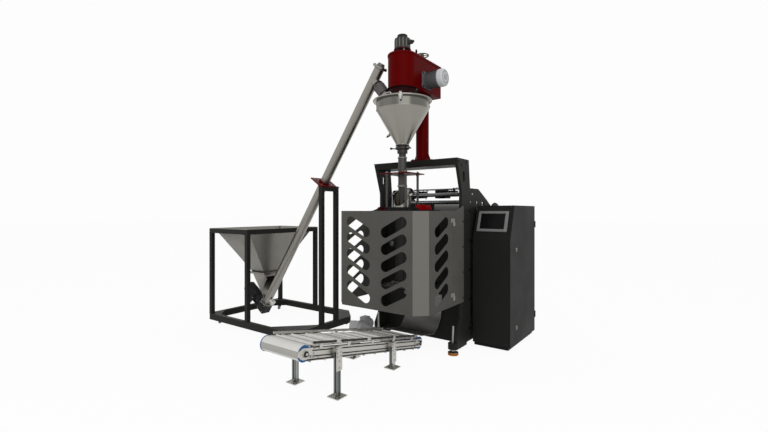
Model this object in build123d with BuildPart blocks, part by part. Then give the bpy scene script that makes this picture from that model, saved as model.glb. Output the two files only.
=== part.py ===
from build123d import *
from math import cos, pi, radians, sin, tan
import os

# Auger powder filling machine: dosing head, bagging frame, cabinet, screw feeder and take-away belt.
# It is drawn about the dosing auger's axis, with +X to the machine's right, +Y to its back and +Z up
# from the floor, in millimetres. Each finished piece is then moved so that the origin is the middle
# of the whole footprint.

os.makedirs("parts", exist_ok=True)

# Clearances
seat_gap = 0.3
running_gap = 0.05

# Bagging frame
foot_height = 60.0
half_width = 540.0
side_plate_thickness = 35.0
upright_front = 322.0
upright_back = 534.0
upright_foot_front = 212.0
arm_start = 1710.0
arm_front = 206.0
arm_back = 496.0
frame_top = 2055.0
beam_height = 70.0
beam_wall = 5.0
lift_hole_height = 110.0
lift_hole_width = 52.0
body_front = 443.0
body_back = 1090.0
body_top = 1440.0
body_wall = 4.0

# Levelling feet
foot_x = 486.0
foot_front_y = 226.0
foot_back_y = 1020.0
pad_radius = 55.0
pad_height = 25.0
foot_stem_radius = 12.0
foot_stem_top = 300.0
foot_leg_radius = 54.0
foot_leg_height = 60.0
rounding_small = 4.0

# Support column and dosing head
column_y = 416.0
column_radius = 73.5
column_wall = 8.0
column_plate_x = 220.0
column_plate_y = 150.0
column_plate_thickness = 32.0
head_bottom = 2800.0
head_top = 3140.0
head_radius = 154.0
head_back = 572.0
head_wall = 4.0
cap_thickness = 26.0
cap_overhang = 5.0
motor_plate_radius = 93.0
motor_spacer_height = 44.0
auger_motor_radius = 79.5
auger_motor_height = 114.0
auger_motor_cap_radius = 52.0
auger_motor_cap_height = 45.0
side_motor_y = 234.0
side_motor_z = 2920.0
side_motor_radius = 88.0
side_motor_length = 236.0
motor_rounding = 18.0
handwheel_radius = 70.0
handwheel_rim_radius = 7.0
handwheel_height = 120.0
handwheel_stem_radius = 11.0

# Hopper
hopper_rim_radius = 310.0
hopper_rim_thickness = 8.0
hopper_radius = 280.0
hopper_top = 2674.0
hopper_band = 100.0
hopper_outlet_z = 2203.0
hopper_outlet_radius = 64.0
hopper_wall = 3.0
sensor_z = 2345.0
sensor_radius = 14.0
sensor_length = 46.0
lid_thickness = 6.0
toggle_count = 3
toggle_width = 26.0
toggle_height = 52.0
toggle_depth = 12.0
toggle_reach = 14.0
neck_radius = 149.0
inlet_x = -220.0
spout_radius = 55.0
clamp_height = 87.0
clamp_radius = 74.0
clamp_waist_radius = 55.0

# Dosing auger and its tube
auger_tube_radius = 38.5
auger_tube_wall = 3.0
auger_tube_end = 812.0
auger_shaft_radius = 14.0
auger_flight_gap = 1.0
auger_pitch = 70.0
flight_thickness = 4.0
flight_steps = 12
agitator_shaft_radius = 26.0
agitator_blade_width = 24.0
belt_level = 3060.0
driven_pulley_radius = 72.0
driving_pulley_radius = 40.0
pulley_width = 34.0
belt_thickness = 5.0

# Tube stand on the forming deck
deck_top = 1510.0
deck_thickness = 24.0
deck_half_width = 210.0
deck_front = -150.0
stand_plate_size = 350.0
stand_plate_thickness = 10.0
stand_plate_top = 1900.0
post_radius = 13.0
post_spread = 118.0
sleeve_radius = 41.5 + 4.0
sleeve_top = 2060.0
forming_tube_radius = 75.0
forming_tube_wall = 3.0
forming_tube_end = 770.0
forming_tube_top = 1560.0
shoulder_top = 1735.0
shoulder_radius = 168.0
shoulder_wall = 3.0
pull_roller_radius = 38.0
pull_roller_length = 60.0
pull_roller_z = 1150.0

# Sealing jaws
jaw_z = 690.0
jaw_height = 86.0
jaw_depth = 46.0
jaw_width = 320.0
jaw_open = 60.0
jaw_rod_x = 188.0
jaw_rod_radius = 12.0
jaw_rod_front = -205.0
jaw_block = 56.0

# Guard
guard_sheet = 3.0
guard_front = -482.0
guard_chamfer = 114.0
guard_bottom = 533.0
guard_top = 1500.0
hinge_line = 111.0
guard_seam = 1.0
guard_arc_rise = 52.0
slot_width = 106.0
slot_angle = 27.0
slot_pitch = 164.0
slot_count = 5
slot_top_z = 1343.0
front_slot_x = 216.0
front_slot_reach = 300.0
side_slot_y = -130.0
side_slot_reach = 280.0
hinge_heights = (1385.0, 628.0)
knuckle_radius = 8.0
knuckle_length = 38.0
hinge_pin_radius = 4.0
hinge_leaf = 2.5
hinge_leaf_width = 46.0

# Film path at the back
carriage_plate = 12.0
carriage_half_width = 505.0
carriage_front = 536.0
carriage_top = 1755.0
reel_y = 1300.0
reel_z = 1400.0
reel_radius = 200.0
reel_half_width = 350.0
reel_shaft_radius = 15.0
upper_roller = (650.0, 1690.0)
lower_roller = (600.0, 1600.0)
film_roller_radius = 23.0
roller_journal_radius = 8.0
coder_bar_y = 790.0
coder_bar_z = 1700.0
coder_bar_radius = 15.0

# Discharge chute
chute_left = -220.0
chute_right = 237.0
chute_sheet = 3.0
chute_cheek = 45.0
chute_lip_y = 12.0
chute_lip_z = 205.0
chute_head_z = 560.0

# Control cabinet
cabinet_left = 547.0
cabinet_right = 967.0
cabinet_front = 583.0
cabinet_back = 1440.0
cabinet_top = 1560.0
cabinet_slope_start = 1190.0
cabinet_setback = 134.0
cabinet_sheet = 3.0
door_depth = 20.0
latch_y = 774.0
latch_heights = (1080.0, 236.0)
latch_radius = 14.0
latch_proud = 12.0
panel_x = 749.0
panel_width = 340.0
panel_height = 235.0
panel_thickness = 14.0
panel_z = 1385.0

# Screw feeder
feeder_bottom_x = -2250.0
feeder_bottom_z = 240.0
feeder_top_x = -298.0
feeder_top_z = 3094.0
screw_tube_radius = 57.0
screw_tube_wall = 3.0
screw_flange_radius = 85.0
screw_flange_thickness = 10.0
feed_shaft_radius = 19.0
feed_flight_gap = 2.0
feed_pitch = 110.0
feed_flight_steps = 10
spout_offset = 150.0
spout_wall = 3.0
chute_top_z = 650.0
chute_throat = 170.0
chute_size = 250.0
gearbox_size = 140.0
feeder_motor_radius = 78.0
feeder_motor_length = 300.0

# Feeder cart
cart_left = -2700.0
cart_right = -1050.0
cart_half_depth = 600.0
cart_bottom = 64.0
cart_ring_height = 81.0
cart_tube = 50.0
cart_tube_wall = 3.0
cart_left_chamfer = 30.0
cart_right_chamfer = 220.0
cart_gusset = 160.0
top_ring_length = 810.0
top_ring_bottom = 1210.0
top_ring_height = 58.0
tall_post_y = 125.0
tall_post_top = 1790.0
saddle_thickness = 12.0
saddle_reach = 100.0
gate_gap = 12.0
gate_thickness = 5.0

# Casters
caster_left_inset = (125.0, 100.0)
caster_right_inset = (140.0, 140.0)
caster_wheel_radius = 23.0
caster_wheel_width = 20.0
caster_trail = 16.0
caster_axle_radius = 4.0
caster_cheek = 3.0
caster_pin_radius = 6.0

# Take-away conveyor
conveyor_x = -67.0
conveyor_back_y = 90.0
conveyor_back_z = 96.0
conveyor_run = 1684.0
conveyor_incline = 11.5
drum_radius = 56.7
conveyor_belt_thickness = 3.0
conveyor_belt_half_width = 214.0
drum_half_width = 216.0
drum_shaft_radius = 10.0
cleat_count = 10
cleat_height = 9.0
cleat_width = 8.0
rail_inner = 222.0
rail_thickness = 5.0
rail_height = 80.0
leg_size = 40.0
leg_wall = 3.0
leg_rows = (-1226.0, -448.0)
foot_plate = 115.0
foot_plate_thickness = 8.0
foot_bolt_spacing = 85.0
foot_bolt_radius = 5.5
bracket_thickness = 5.0
bracket_width = 66.0
bracket_height = 190.0
boss_radius = 27.0
boss_depth = 14.0
conveyor_motor_y = -330.0

# The origin is the middle of the footprint of everything that stands out furthest
footprint_left = cart_left
footprint_right = cabinet_right + latch_proud
conveyor_slope = radians(conveyor_incline)
drum_outside = drum_radius + seat_gap + conveyor_belt_thickness
conveyor_front_y = conveyor_back_y - conveyor_run * cos(conveyor_slope)
conveyor_front_z = conveyor_back_z + conveyor_run * sin(conveyor_slope)
footprint_front = conveyor_front_y - drum_outside
footprint_back = reel_y + reel_radius
centre_x = (footprint_left + footprint_right) / 2
centre_y = (footprint_front + footprint_back) / 2
to_footprint_centre = Location((-centre_x, -centre_y, 0))

plate_inside = half_width - side_plate_thickness
bottom_up = (Align.CENTER, Align.CENTER, Align.MIN)


def keep(builder, name):
    """Move a finished piece to the footprint's centre, label it and write it."""
    builder.part.label = name
    export_step(builder.part.moved(to_footprint_centre), f"parts/{name}.step")


def rod_sketch(origin, along):
    """Give the plane on which a round piece that runs along a direction is drawn."""
    return Plane(origin=origin, z_dir=along)


def helical_flight(inner, outer, pitch, length, thickness, steps):
    """Give a screw flight from z 0 up to length, as flat facets between radial edges."""
    count = int((length - thickness) / pitch * steps)
    turn = 2 * pi / steps
    rise = pitch / steps

    def corner(radius, step, level):
        angle = step * turn
        return Vector(radius * cos(angle), radius * sin(angle), step * rise + level)

    def quad(a, b, c, d):
        return [Face(Wire.make_polygon([a, b, c], close=True)),
                Face(Wire.make_polygon([a, c, d], close=True))]

    faces = []
    for step in range(count):
        low = [corner(r, s, 0) for s in (step, step + 1) for r in (inner, outer)]
        high = [corner(r, s, thickness) for s in (step, step + 1) for r in (inner, outer)]
        faces += quad(low[0], low[2], low[3], low[1])
        faces += quad(high[0], high[1], high[3], high[2])
        faces += quad(low[1], low[3], high[3], high[1])
        faces += quad(low[0], high[0], high[2], low[2])
    for step in (0, count):
        ends = [corner(inner, step, 0), corner(outer, step, 0),
                corner(outer, step, thickness), corner(inner, step, thickness)]
        faces.append(Face(Wire.make_polygon(ends, close=True)))
    return Solid(Shell(faces))


# Side plates: uprights that lean forward above the guard

for side, name in ((-1, "side_plate_left"), (1, "side_plate_right")):
    outer_face = side * half_width
    with BuildPart() as side_plate:
        with BuildSketch(Plane.YZ.offset(min(outer_face, outer_face - side * side_plate_thickness))):
            with BuildLine():
                Polyline((upright_foot_front, foot_height + foot_leg_height),
                         (upright_foot_front, foot_height + 2 * foot_leg_height),
                         (upright_front, foot_height + 5 * foot_leg_height),
                         (upright_front, arm_start), (arm_front, frame_top),
                         (arm_back, frame_top), (upright_back, arm_start),
                         (upright_back, foot_height + foot_leg_height), close=True)
            make_face()
            fillet(vertices().group_by(Axis.Y)[-2], radius=60)
            with Locations(((arm_front + upright_back) / 2, (arm_start + frame_top) / 2 - 15)):
                SlotOverall(lift_hole_height, lift_hole_width, rotation=90, mode=Mode.SUBTRACT)
        extrude(amount=side_plate_thickness)
        chamfer(edges().filter_by(Axis.Z), length=rounding_small / 2)
    keep(side_plate, name)

with BuildPart() as arch_beam:
    with BuildSketch(Plane.YZ.offset(-plate_inside)):
        with BuildLine():
            Polyline((arm_front + 24, frame_top - beam_height), (arm_front, frame_top),
                     (arm_back, frame_top), (arm_back + 8, frame_top - beam_height), close=True)
        make_face()
        offset(amount=-beam_wall, mode=Mode.SUBTRACT)
    extrude(amount=2 * plate_inside)
keep(arch_beam, "arch_beam")


# Lower body: closed sheet housing with two front legs, guide rods for the jaws and cabinet spacers

with BuildPart() as lower_body:
    body_depth = body_back - body_front
    body_height = body_top - foot_height
    with Locations((0, (body_front + body_back) / 2, foot_height)):
        Box(2 * plate_inside, body_depth, body_height, align=bottom_up)
    with Locations((0, (body_front + body_back) / 2, foot_height + body_wall)):
        Box(2 * (plate_inside - body_wall), body_depth - 2 * body_wall,
            body_height - 2 * body_wall, align=bottom_up, mode=Mode.SUBTRACT)
    for side in (-1, 1):
        with BuildSketch(Plane.XY.offset(foot_height)):
            with Locations((side * foot_x, foot_front_y)):
                Circle(foot_leg_radius)
            with Locations((side * foot_x, (foot_front_y + body_front) / 2)):
                Rectangle(2 * foot_leg_radius, body_front - foot_front_y)
            with Locations((side * foot_x, foot_front_y)):
                Circle(foot_stem_radius + seat_gap, mode=Mode.SUBTRACT)
        extrude(amount=foot_leg_height)
        with BuildSketch(rod_sketch((side * jaw_rod_x, jaw_rod_front, jaw_z), (0, 1, 0))):
            Circle(jaw_rod_radius)
        extrude(amount=body_front - jaw_rod_front)
    with Locations((0, jaw_rod_front - 10, jaw_z)):
        Box(2 * jaw_rod_x + jaw_block, 20, jaw_block)
    for level in (300, 1100):
        with Locations(((plate_inside + cabinet_left) / 2, (body_back + cabinet_front) / 2, level)):
            Box(cabinet_left - plate_inside, 420, 60)
keep(lower_body, "lower_body")

with BuildPart() as levelling_feet:
    for side in (-1, 1):
        for row, stem_top in ((foot_front_y, foot_stem_top), (foot_back_y, foot_height)):
            with Locations((side * foot_x, row, 0)):
                Cylinder(pad_radius, pad_height, align=bottom_up)
                Cylinder(foot_stem_radius, stem_top, align=bottom_up)
            with Locations((side * foot_x, row, pad_height)):
                Cone(pad_radius * 0.8, foot_stem_radius + 6, 14, align=bottom_up)
    for side in (-1, 1):
        with BuildSketch(Plane.XY.offset(foot_height + foot_leg_height)):
            with Locations((side * foot_x, foot_front_y)):
                RegularPolygon(foot_stem_radius * 1.5, 6)
        extrude(amount=20)
keep(levelling_feet, "levelling_feet")


# Support column with its base plate and gussets

with BuildPart() as support_column:
    column_top = head_top - 40
    plate_top = frame_top + column_plate_thickness
    with Locations((0, column_y, frame_top)):
        Box(column_plate_x, column_plate_y, column_plate_thickness, align=bottom_up)
        Cylinder(column_radius, column_top - frame_top, align=bottom_up)
    with BuildSketch(Plane.XZ.offset(-column_y - 5)):
        for side in (-1, 1):
            with BuildLine():
                Polyline((side * (column_radius - 3), plate_top - 1),
                         (side * (column_plate_x / 2 - 4), plate_top - 1),
                         (side * (column_radius - 3), plate_top + 90), close=True)
            make_face()
    extrude(amount=10)
    with Locations((0, column_y, frame_top)):
        Cylinder(column_radius - column_wall, column_top - frame_top, align=bottom_up,
                 mode=Mode.SUBTRACT)
keep(support_column, "support_column")


# Head housing: stadium plan round the auger and flat behind the column

def head_outline(inset):
    """Draw the housing's plan, drawn in by inset, in the sketch that is open."""
    radius = head_radius - inset
    back = head_back - inset
    with BuildLine() as outline:
        ThreePointArc((radius, 0), (0, -radius), (-radius, 0))
        Polyline((-radius, 0), (-radius, back), (radius, back), (radius, 0))
    make_face(outline.edges())


with BuildPart() as head_housing:
    with BuildSketch(Plane.XY.offset(head_bottom)):
        head_outline(0)
    extrude(amount=head_top - head_bottom)
    with BuildSketch(Plane.XY.offset(head_top)):
        head_outline(-cap_overhang)
    extrude(amount=cap_thickness)
    with BuildSketch(Plane.XY.offset(head_bottom + head_wall)):
        head_outline(head_wall)
    extrude(amount=head_top - head_bottom - 2 * head_wall, mode=Mode.SUBTRACT)
    with Locations((0, 0, head_bottom)):
        Cylinder(agitator_shaft_radius + 2, head_wall * 2, mode=Mode.SUBTRACT)
        Cylinder(auger_shaft_radius + 1, head_top, align=bottom_up, mode=Mode.SUBTRACT)
    with Locations((0, column_y, head_bottom)):
        Cylinder(column_radius + seat_gap, head_wall * 2, mode=Mode.SUBTRACT)
        Cylinder(handwheel_stem_radius + running_gap, head_top, align=bottom_up, mode=Mode.SUBTRACT)
    with BuildSketch(rod_sketch((head_radius - head_wall, side_motor_y, side_motor_z), (1, 0, 0))):
        Circle(auger_shaft_radius + 4)
    extrude(amount=2 * head_wall, both=True, mode=Mode.SUBTRACT)
    chamfer(edges().group_by(Axis.Z)[-1], length=rounding_small)
keep(head_housing, "head_housing")

cap_top = head_top + cap_thickness

with BuildPart() as auger_motor:
    motor_bottom = cap_top + motor_spacer_height + 12
    with Locations((0, 0, cap_top + motor_spacer_height)):
        Cylinder(motor_plate_radius, 12, align=bottom_up)
    with Locations((0, 0, cap_top)):
        with PolarLocations(motor_plate_radius - 14, 4, start_angle=45):
            Cylinder(8, motor_spacer_height, align=bottom_up)
    with Locations((0, 0, motor_bottom)):
        Cylinder(auger_motor_radius, auger_motor_height, align=bottom_up)
    with Locations((0, 0, motor_bottom + auger_motor_height)):
        Cylinder(auger_motor_cap_radius, auger_motor_cap_height, align=bottom_up)
    chamfer(edges().group_by(Axis.Z)[-1], length=motor_rounding / 2)
    with Locations((auger_motor_radius, 0, motor_bottom + 62)):
        Box(90, 34, 34)
    with Locations((0, 0, cap_top)):
        Cylinder(auger_shaft_radius + 1, motor_spacer_height + 20, align=bottom_up,
                 mode=Mode.SUBTRACT)
keep(auger_motor, "auger_motor")

with BuildPart() as agitator_motor:
    with BuildSketch(rod_sketch((head_radius, side_motor_y, side_motor_z), (1, 0, 0))):
        Rectangle(2 * side_motor_radius, 2 * side_motor_radius)
        fillet(vertices(), radius=24)
    extrude(amount=14)
    with BuildSketch(rod_sketch((head_radius, side_motor_y, side_motor_z), (1, 0, 0))):
        Circle(side_motor_radius)
    extrude(amount=side_motor_length)
    chamfer(faces().sort_by(Axis.X)[-1].edges(), length=motor_rounding)
    with BuildSketch(rod_sketch((head_radius, side_motor_y, side_motor_z), (-1, 0, 0))):
        Circle(auger_shaft_radius)
    extrude(amount=head_radius - 62)
    with Locations((0, side_motor_y, side_motor_z)):
        Box(124, 124, 124)
    with Locations((0, side_motor_y, side_motor_z - 62)):
        Box(160, 90, side_motor_z - 62 - head_bottom - head_wall,
            align=(Align.CENTER, Align.CENTER, Align.MAX))
keep(agitator_motor, "agitator_motor")

with BuildPart() as agitator_drive_pulley:
    with Locations((0, side_motor_y, belt_level)):
        Cylinder(driving_pulley_radius, pulley_width)
    with Locations((0, side_motor_y, side_motor_z + 62 + seat_gap)):
        Cylinder(auger_shaft_radius, belt_level - side_motor_z - 62, align=bottom_up)
keep(agitator_drive_pulley, "agitator_drive_pulley")


def belt_loop(reach):
    """Draw the belt's outline, reach out from both pulleys, in the sketch that is open."""
    with Locations((0, 0)):
        Circle(driven_pulley_radius + reach)
    with Locations((0, side_motor_y)):
        Circle(driving_pulley_radius + reach)
    make_hull()


with BuildPart() as agitator_belt:
    with BuildSketch(Plane.XY.offset(belt_level - pulley_width / 2 + 4)):
        belt_loop(seat_gap + belt_thickness)
    extrude(amount=pulley_width - 8)
    with BuildSketch(Plane.XY.offset(belt_level - pulley_width / 2 + 4)):
        belt_loop(seat_gap)
    extrude(amount=pulley_width - 8, mode=Mode.SUBTRACT)
keep(agitator_belt, "agitator_belt")


# Agitator: hollow shaft with arms and scraper blades that follow the cone's wall

cone_slope = (hopper_radius - hopper_outlet_radius) / (hopper_top - hopper_band - hopper_outlet_z)

with BuildPart() as agitator:
    agitator_bottom = 2500.0
    with Locations((0, 0, agitator_bottom)):
        Cylinder(agitator_shaft_radius, belt_level + pulley_width / 2 - agitator_bottom,
                 align=bottom_up)
    with Locations((0, 0, belt_level)):
        Cylinder(driven_pulley_radius, pulley_width)
    with BuildSketch(Plane.XZ.offset(-agitator_blade_width / 2)):
        for side in (-1, 1):
            blade_reach = hopper_radius - hopper_wall - 18
            with BuildLine():
                Polyline((side * 20, 2600), (side * blade_reach, 2600), (side * blade_reach, 2560),
                         (side * (blade_reach - cone_slope * 230), 2330),
                         (side * (blade_reach - cone_slope * 230 - 16), 2330),
                         (side * (blade_reach - 18), 2568), (side * 20, 2584), close=True)
            make_face()
    extrude(amount=agitator_blade_width)
    with Locations((0, 0, 0)):
        Cylinder(auger_shaft_radius + 3, head_top, align=bottom_up, mode=Mode.SUBTRACT)
keep(agitator, "agitator")

auger_flight_radius = auger_tube_radius - auger_tube_wall - auger_flight_gap

with BuildPart() as auger:
    auger_bottom = auger_tube_end + 8
    flight_top = hopper_outlet_z + 160
    with Locations((0, 0, auger_bottom)):
        Cylinder(auger_shaft_radius, cap_top + motor_spacer_height - auger_bottom - seat_gap,
                 align=bottom_up)
    flight = helical_flight(auger_shaft_radius * 1.04 + seat_gap, auger_flight_radius, auger_pitch,
                            flight_top - auger_bottom, flight_thickness, flight_steps)
    add(flight.moved(Location((0, 0, auger_bottom))))
keep(auger, "auger")


# Hopper: cone, straight band and flat rim, in one revolved wall

with BuildPart() as hopper:
    with BuildSketch(Plane.XZ):
        with BuildLine():
            Polyline((hopper_outlet_radius, hopper_outlet_z),
                     (hopper_radius, hopper_top - hopper_band),
                     (hopper_radius, hopper_top - hopper_rim_thickness),
                     (hopper_rim_radius, hopper_top - hopper_rim_thickness),
                     (hopper_rim_radius, hopper_top), (hopper_radius - hopper_wall, hopper_top),
                     (hopper_radius - hopper_wall, hopper_top - hopper_band + 1),
                     (hopper_outlet_radius - hopper_wall, hopper_outlet_z + 1),
                     (hopper_outlet_radius - hopper_wall, hopper_outlet_z), close=True)
        make_face()
    revolve(axis=Axis.Z)
    sensor_x = hopper_outlet_radius + cone_slope * (sensor_z - hopper_outlet_z) - hopper_wall / 2
    with BuildSketch(rod_sketch((-sensor_x, 0, sensor_z), (-1, 0, -cone_slope))):
        Circle(sensor_radius)
    extrude(amount=sensor_length)
keep(hopper, "hopper")

lid_top = hopper_top + lid_thickness

with BuildPart() as hopper_lid:
    with Locations((0, 0, hopper_top)):
        Cylinder(hopper_rim_radius, lid_thickness, align=bottom_up)
    with Locations((0, 0, lid_top)):
        Cylinder(neck_radius, head_bottom - lid_top, align=bottom_up)
    with Locations((inlet_x, 0, lid_top)):
        Cylinder(spout_radius + 5, 22, align=bottom_up)
    with PolarLocations(hopper_rim_radius, toggle_count, start_angle=180):
        with Locations((0, 0, lid_top - 2)):
            Box(2 * toggle_reach, toggle_width, 8, align=bottom_up)
        with Locations((toggle_reach - toggle_depth / 2, 0, lid_top - toggle_height)):
            Box(toggle_depth, toggle_width, toggle_height, align=bottom_up)
    with Locations((0, 0, lid_top)):
        Cylinder(neck_radius - 4, head_bottom - lid_top, align=bottom_up, mode=Mode.SUBTRACT)
    with Locations((0, 0, hopper_top)):
        Cylinder(agitator_shaft_radius + 2, lid_thickness * 2, mode=Mode.SUBTRACT)
    with Locations((inlet_x, 0, hopper_top)):
        Cylinder(spout_radius + seat_gap, 80, mode=Mode.SUBTRACT)
keep(hopper_lid, "hopper_lid")

with BuildPart() as hopper_clamp:
    with BuildSketch(Plane.XZ):
        with BuildLine():
            Polyline((auger_tube_radius, hopper_outlet_z - clamp_height),
                     (clamp_waist_radius, hopper_outlet_z - clamp_height),
                     (clamp_waist_radius, hopper_outlet_z - 50), (clamp_radius, hopper_outlet_z - 44),
                     (clamp_radius, hopper_outlet_z - 22), (clamp_waist_radius, hopper_outlet_z - 16),
                     (clamp_waist_radius, hopper_outlet_z - 8), (clamp_radius, hopper_outlet_z - 8),
                     (clamp_radius, hopper_outlet_z), (auger_tube_radius, hopper_outlet_z), close=True)
        make_face()
    revolve(axis=Axis.Z)
    with BuildSketch(rod_sketch((-clamp_radius + 4, 0, hopper_outlet_z - 33), (-1, 0, 0.12))):
        Circle(6)
    extrude(amount=62)
keep(hopper_clamp, "hopper_clamp")

with BuildPart() as auger_tube:
    with Locations((0, 0, auger_tube_end)):
        Cylinder(auger_tube_radius, hopper_outlet_z - auger_tube_end, align=bottom_up)
        Cylinder(auger_tube_radius - auger_tube_wall, hopper_outlet_z - auger_tube_end,
                 align=bottom_up, mode=Mode.SUBTRACT)
keep(auger_tube, "auger_tube")

with BuildPart() as lift_handwheel:
    wheel_z = cap_top + handwheel_height
    with BuildSketch(Plane.XZ.offset(-column_y)):
        with Locations((handwheel_radius, wheel_z)):
            RegularPolygon(handwheel_rim_radius, 8)
    revolve(axis=Axis((0, column_y, 0), (0, 0, 1)))
    with Locations((0, column_y, column_top)):
        Cylinder(handwheel_stem_radius, wheel_z + 10 - column_top, align=bottom_up)
    with Locations((0, column_y, wheel_z)):
        Cylinder(20, 24)
        with PolarLocations(0, 3, start_angle=30):
            with Locations((handwheel_radius / 2, 0, 0)):
                Box(handwheel_radius, 12, 6)
    with Locations((-handwheel_radius * cos(pi / 6), column_y - handwheel_radius * sin(pi / 6),
                    wheel_z)):
        Cylinder(8, 70, align=bottom_up)
keep(lift_handwheel, "lift_handwheel")


# Tube stand, deck, forming tube and shoulder

with BuildPart() as tube_stand:
    with Locations((0, 0, stand_plate_top)):
        Box(stand_plate_size, stand_plate_size, stand_plate_thickness,
            align=(Align.CENTER, Align.CENTER, Align.MAX))
    fillet(edges().filter_by(Axis.Z), radius=12)
    with Locations((0, 0, deck_top)):
        with GridLocations(2 * post_spread, 2 * post_spread, 2, 2):
            Cylinder(post_radius, stand_plate_top - stand_plate_thickness - deck_top, align=bottom_up)
    with Locations((0, 0, shoulder_top + 20)):
        Cylinder(sleeve_radius, sleeve_top - shoulder_top - 20, align=bottom_up)
    with Locations((0, 0, shoulder_top)):
        Cylinder(auger_tube_radius + seat_gap, sleeve_top - shoulder_top, align=bottom_up,
                 mode=Mode.SUBTRACT)
keep(tube_stand, "tube_stand")

with BuildPart() as forming_deck:
    with Locations((0, (deck_front + body_front) / 2, deck_top)):
        Box(2 * deck_half_width, body_front - deck_front, deck_thickness,
            align=(Align.CENTER, Align.CENTER, Align.MAX))
    fillet(edges().filter_by(Axis.Z).group_by(Axis.Y)[0], radius=30)
    with BuildSketch(Plane.YZ.offset(-deck_half_width)):
        with BuildLine():
            Polyline((body_front, deck_top - deck_thickness), (body_front, body_top - 260),
                     (body_front - 40, body_top - 260), (body_front - 260, deck_top - deck_thickness),
                     close=True)
        make_face()
    extrude(amount=12)
    mirror(about=Plane.YZ)
    with Locations((0, 0, deck_top)):
        Cylinder(forming_tube_radius + seat_gap, 4 * deck_thickness, mode=Mode.SUBTRACT)
keep(forming_deck, "forming_deck")

with BuildPart() as forming_tube:
    with Locations((0, 0, forming_tube_end)):
        Cylinder(forming_tube_radius, forming_tube_top - forming_tube_end, align=bottom_up)
    with Locations((0, 0, deck_top)):
        Cylinder(forming_tube_radius + 12, 8, align=bottom_up)
    with Locations((0, 0, forming_tube_end)):
        Cylinder(forming_tube_radius - forming_tube_wall, forming_tube_top - forming_tube_end,
                 align=bottom_up, mode=Mode.SUBTRACT)
keep(forming_tube, "forming_tube")

with BuildPart() as forming_shoulder:
    shoulder_foot = forming_tube_radius + 14
    with BuildSketch(Plane.XZ):
        with BuildLine():
            Polyline((shoulder_foot, deck_top), (shoulder_foot + 18, deck_top),
                     (shoulder_foot + 18, deck_top + 6), (shoulder_foot + 4, deck_top + 6),
                     (shoulder_foot + 4, deck_top + 24), (post_spread - 2 * post_radius, deck_top + 60),
                     (post_spread - 2 * post_radius, shoulder_top),
                     (post_spread - 2 * post_radius - shoulder_wall, shoulder_top),
                     (post_spread - 2 * post_radius - shoulder_wall, deck_top + 60),
                     (shoulder_foot, deck_top + 24), close=True)
        make_face()
    revolve(axis=Axis.Z)
    split(bisect_by=Plane(origin=(0, -shoulder_foot - 20, deck_top + 20),
                          z_dir=(0, -1, 0.82)), keep=Keep.BOTTOM)
keep(forming_shoulder, "forming_shoulder")


# Pull rollers that draw the film down both sides of the forming tube

for side, name in ((-1, "pull_roller_left"), (1, "pull_roller_right")):
    roller_x = side * (forming_tube_radius + pull_roller_radius + 1)
    with BuildPart() as pull_roller:
        with BuildSketch(rod_sketch((roller_x, -pull_roller_length / 2, pull_roller_z), (0, 1, 0))):
            Circle(pull_roller_radius)
        extrude(amount=pull_roller_length)
        chamfer(edges(), length=3)
        with BuildSketch(rod_sketch((roller_x, 0, pull_roller_z), (0, 1, 0))):
            Circle(12)
        extrude(amount=body_front - seat_gap)
    keep(pull_roller, name)


# Sealing jaws on their guide rods

for side, name in ((-1, "front_jaw"), (1, "rear_jaw")):
    jaw_y = side * (jaw_open + jaw_depth / 2)
    with BuildPart() as jaw:
        with Locations((0, jaw_y, jaw_z)):
            Box(jaw_width, jaw_depth, jaw_height)
        with Locations((0, jaw_y + side * (jaw_depth / 2 + 14), jaw_z)):
            Box(2 * jaw_rod_x + jaw_block, 28, jaw_block)
        with Locations((0, jaw_y - side * jaw_depth / 2, jaw_z)):
            Box(jaw_width, 10, 22, mode=Mode.SUBTRACT)
        for rod in (-1, 1):
            with BuildSketch(rod_sketch((rod * jaw_rod_x, -jaw_rod_x, jaw_z), (0, 1, 0))):
                Circle(jaw_rod_radius + running_gap)
            extrude(amount=2 * jaw_rod_x, mode=Mode.SUBTRACT)
    keep(jaw, name)


# Guard: one folded sheet that swings on the right, between two fixed side panels

def guard_slots(plane, middles, reach, slopes):
    """Cut columns of slanted slots through a guard sheet, drawn on a plane in front of it."""
    rise = radians(slot_angle)
    length = (reach - slot_width) / cos(rise) + slot_width
    with BuildSketch(plane) as slots:
        for middle, slope in zip(middles, slopes):
            for row in range(slot_count):
                with Locations((middle, slot_top_z - row * slot_pitch)):
                    SlotOverall(length, slot_width, rotation=slope * slot_angle)
    extrude(slots.sketch, amount=2 * guard_sheet, both=True, mode=Mode.SUBTRACT)


def guard_outline(inset):
    """Give the points of the guard's plan, from the left hinge line round to the right one."""
    reach = guard_half_width - inset
    fold = inset * tan(pi / 8)
    return [(-reach, hinge_line - guard_seam),
            (-reach, guard_front + guard_chamfer + fold),
            (-guard_half_width + guard_chamfer + fold, guard_front + inset),
            (guard_half_width - guard_chamfer - fold, guard_front + inset),
            (reach, guard_front + guard_chamfer + fold),
            (reach, hinge_line - guard_seam)]


guard_half_width = half_width + guard_sheet
hinge_x = guard_half_width + knuckle_radius

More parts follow.
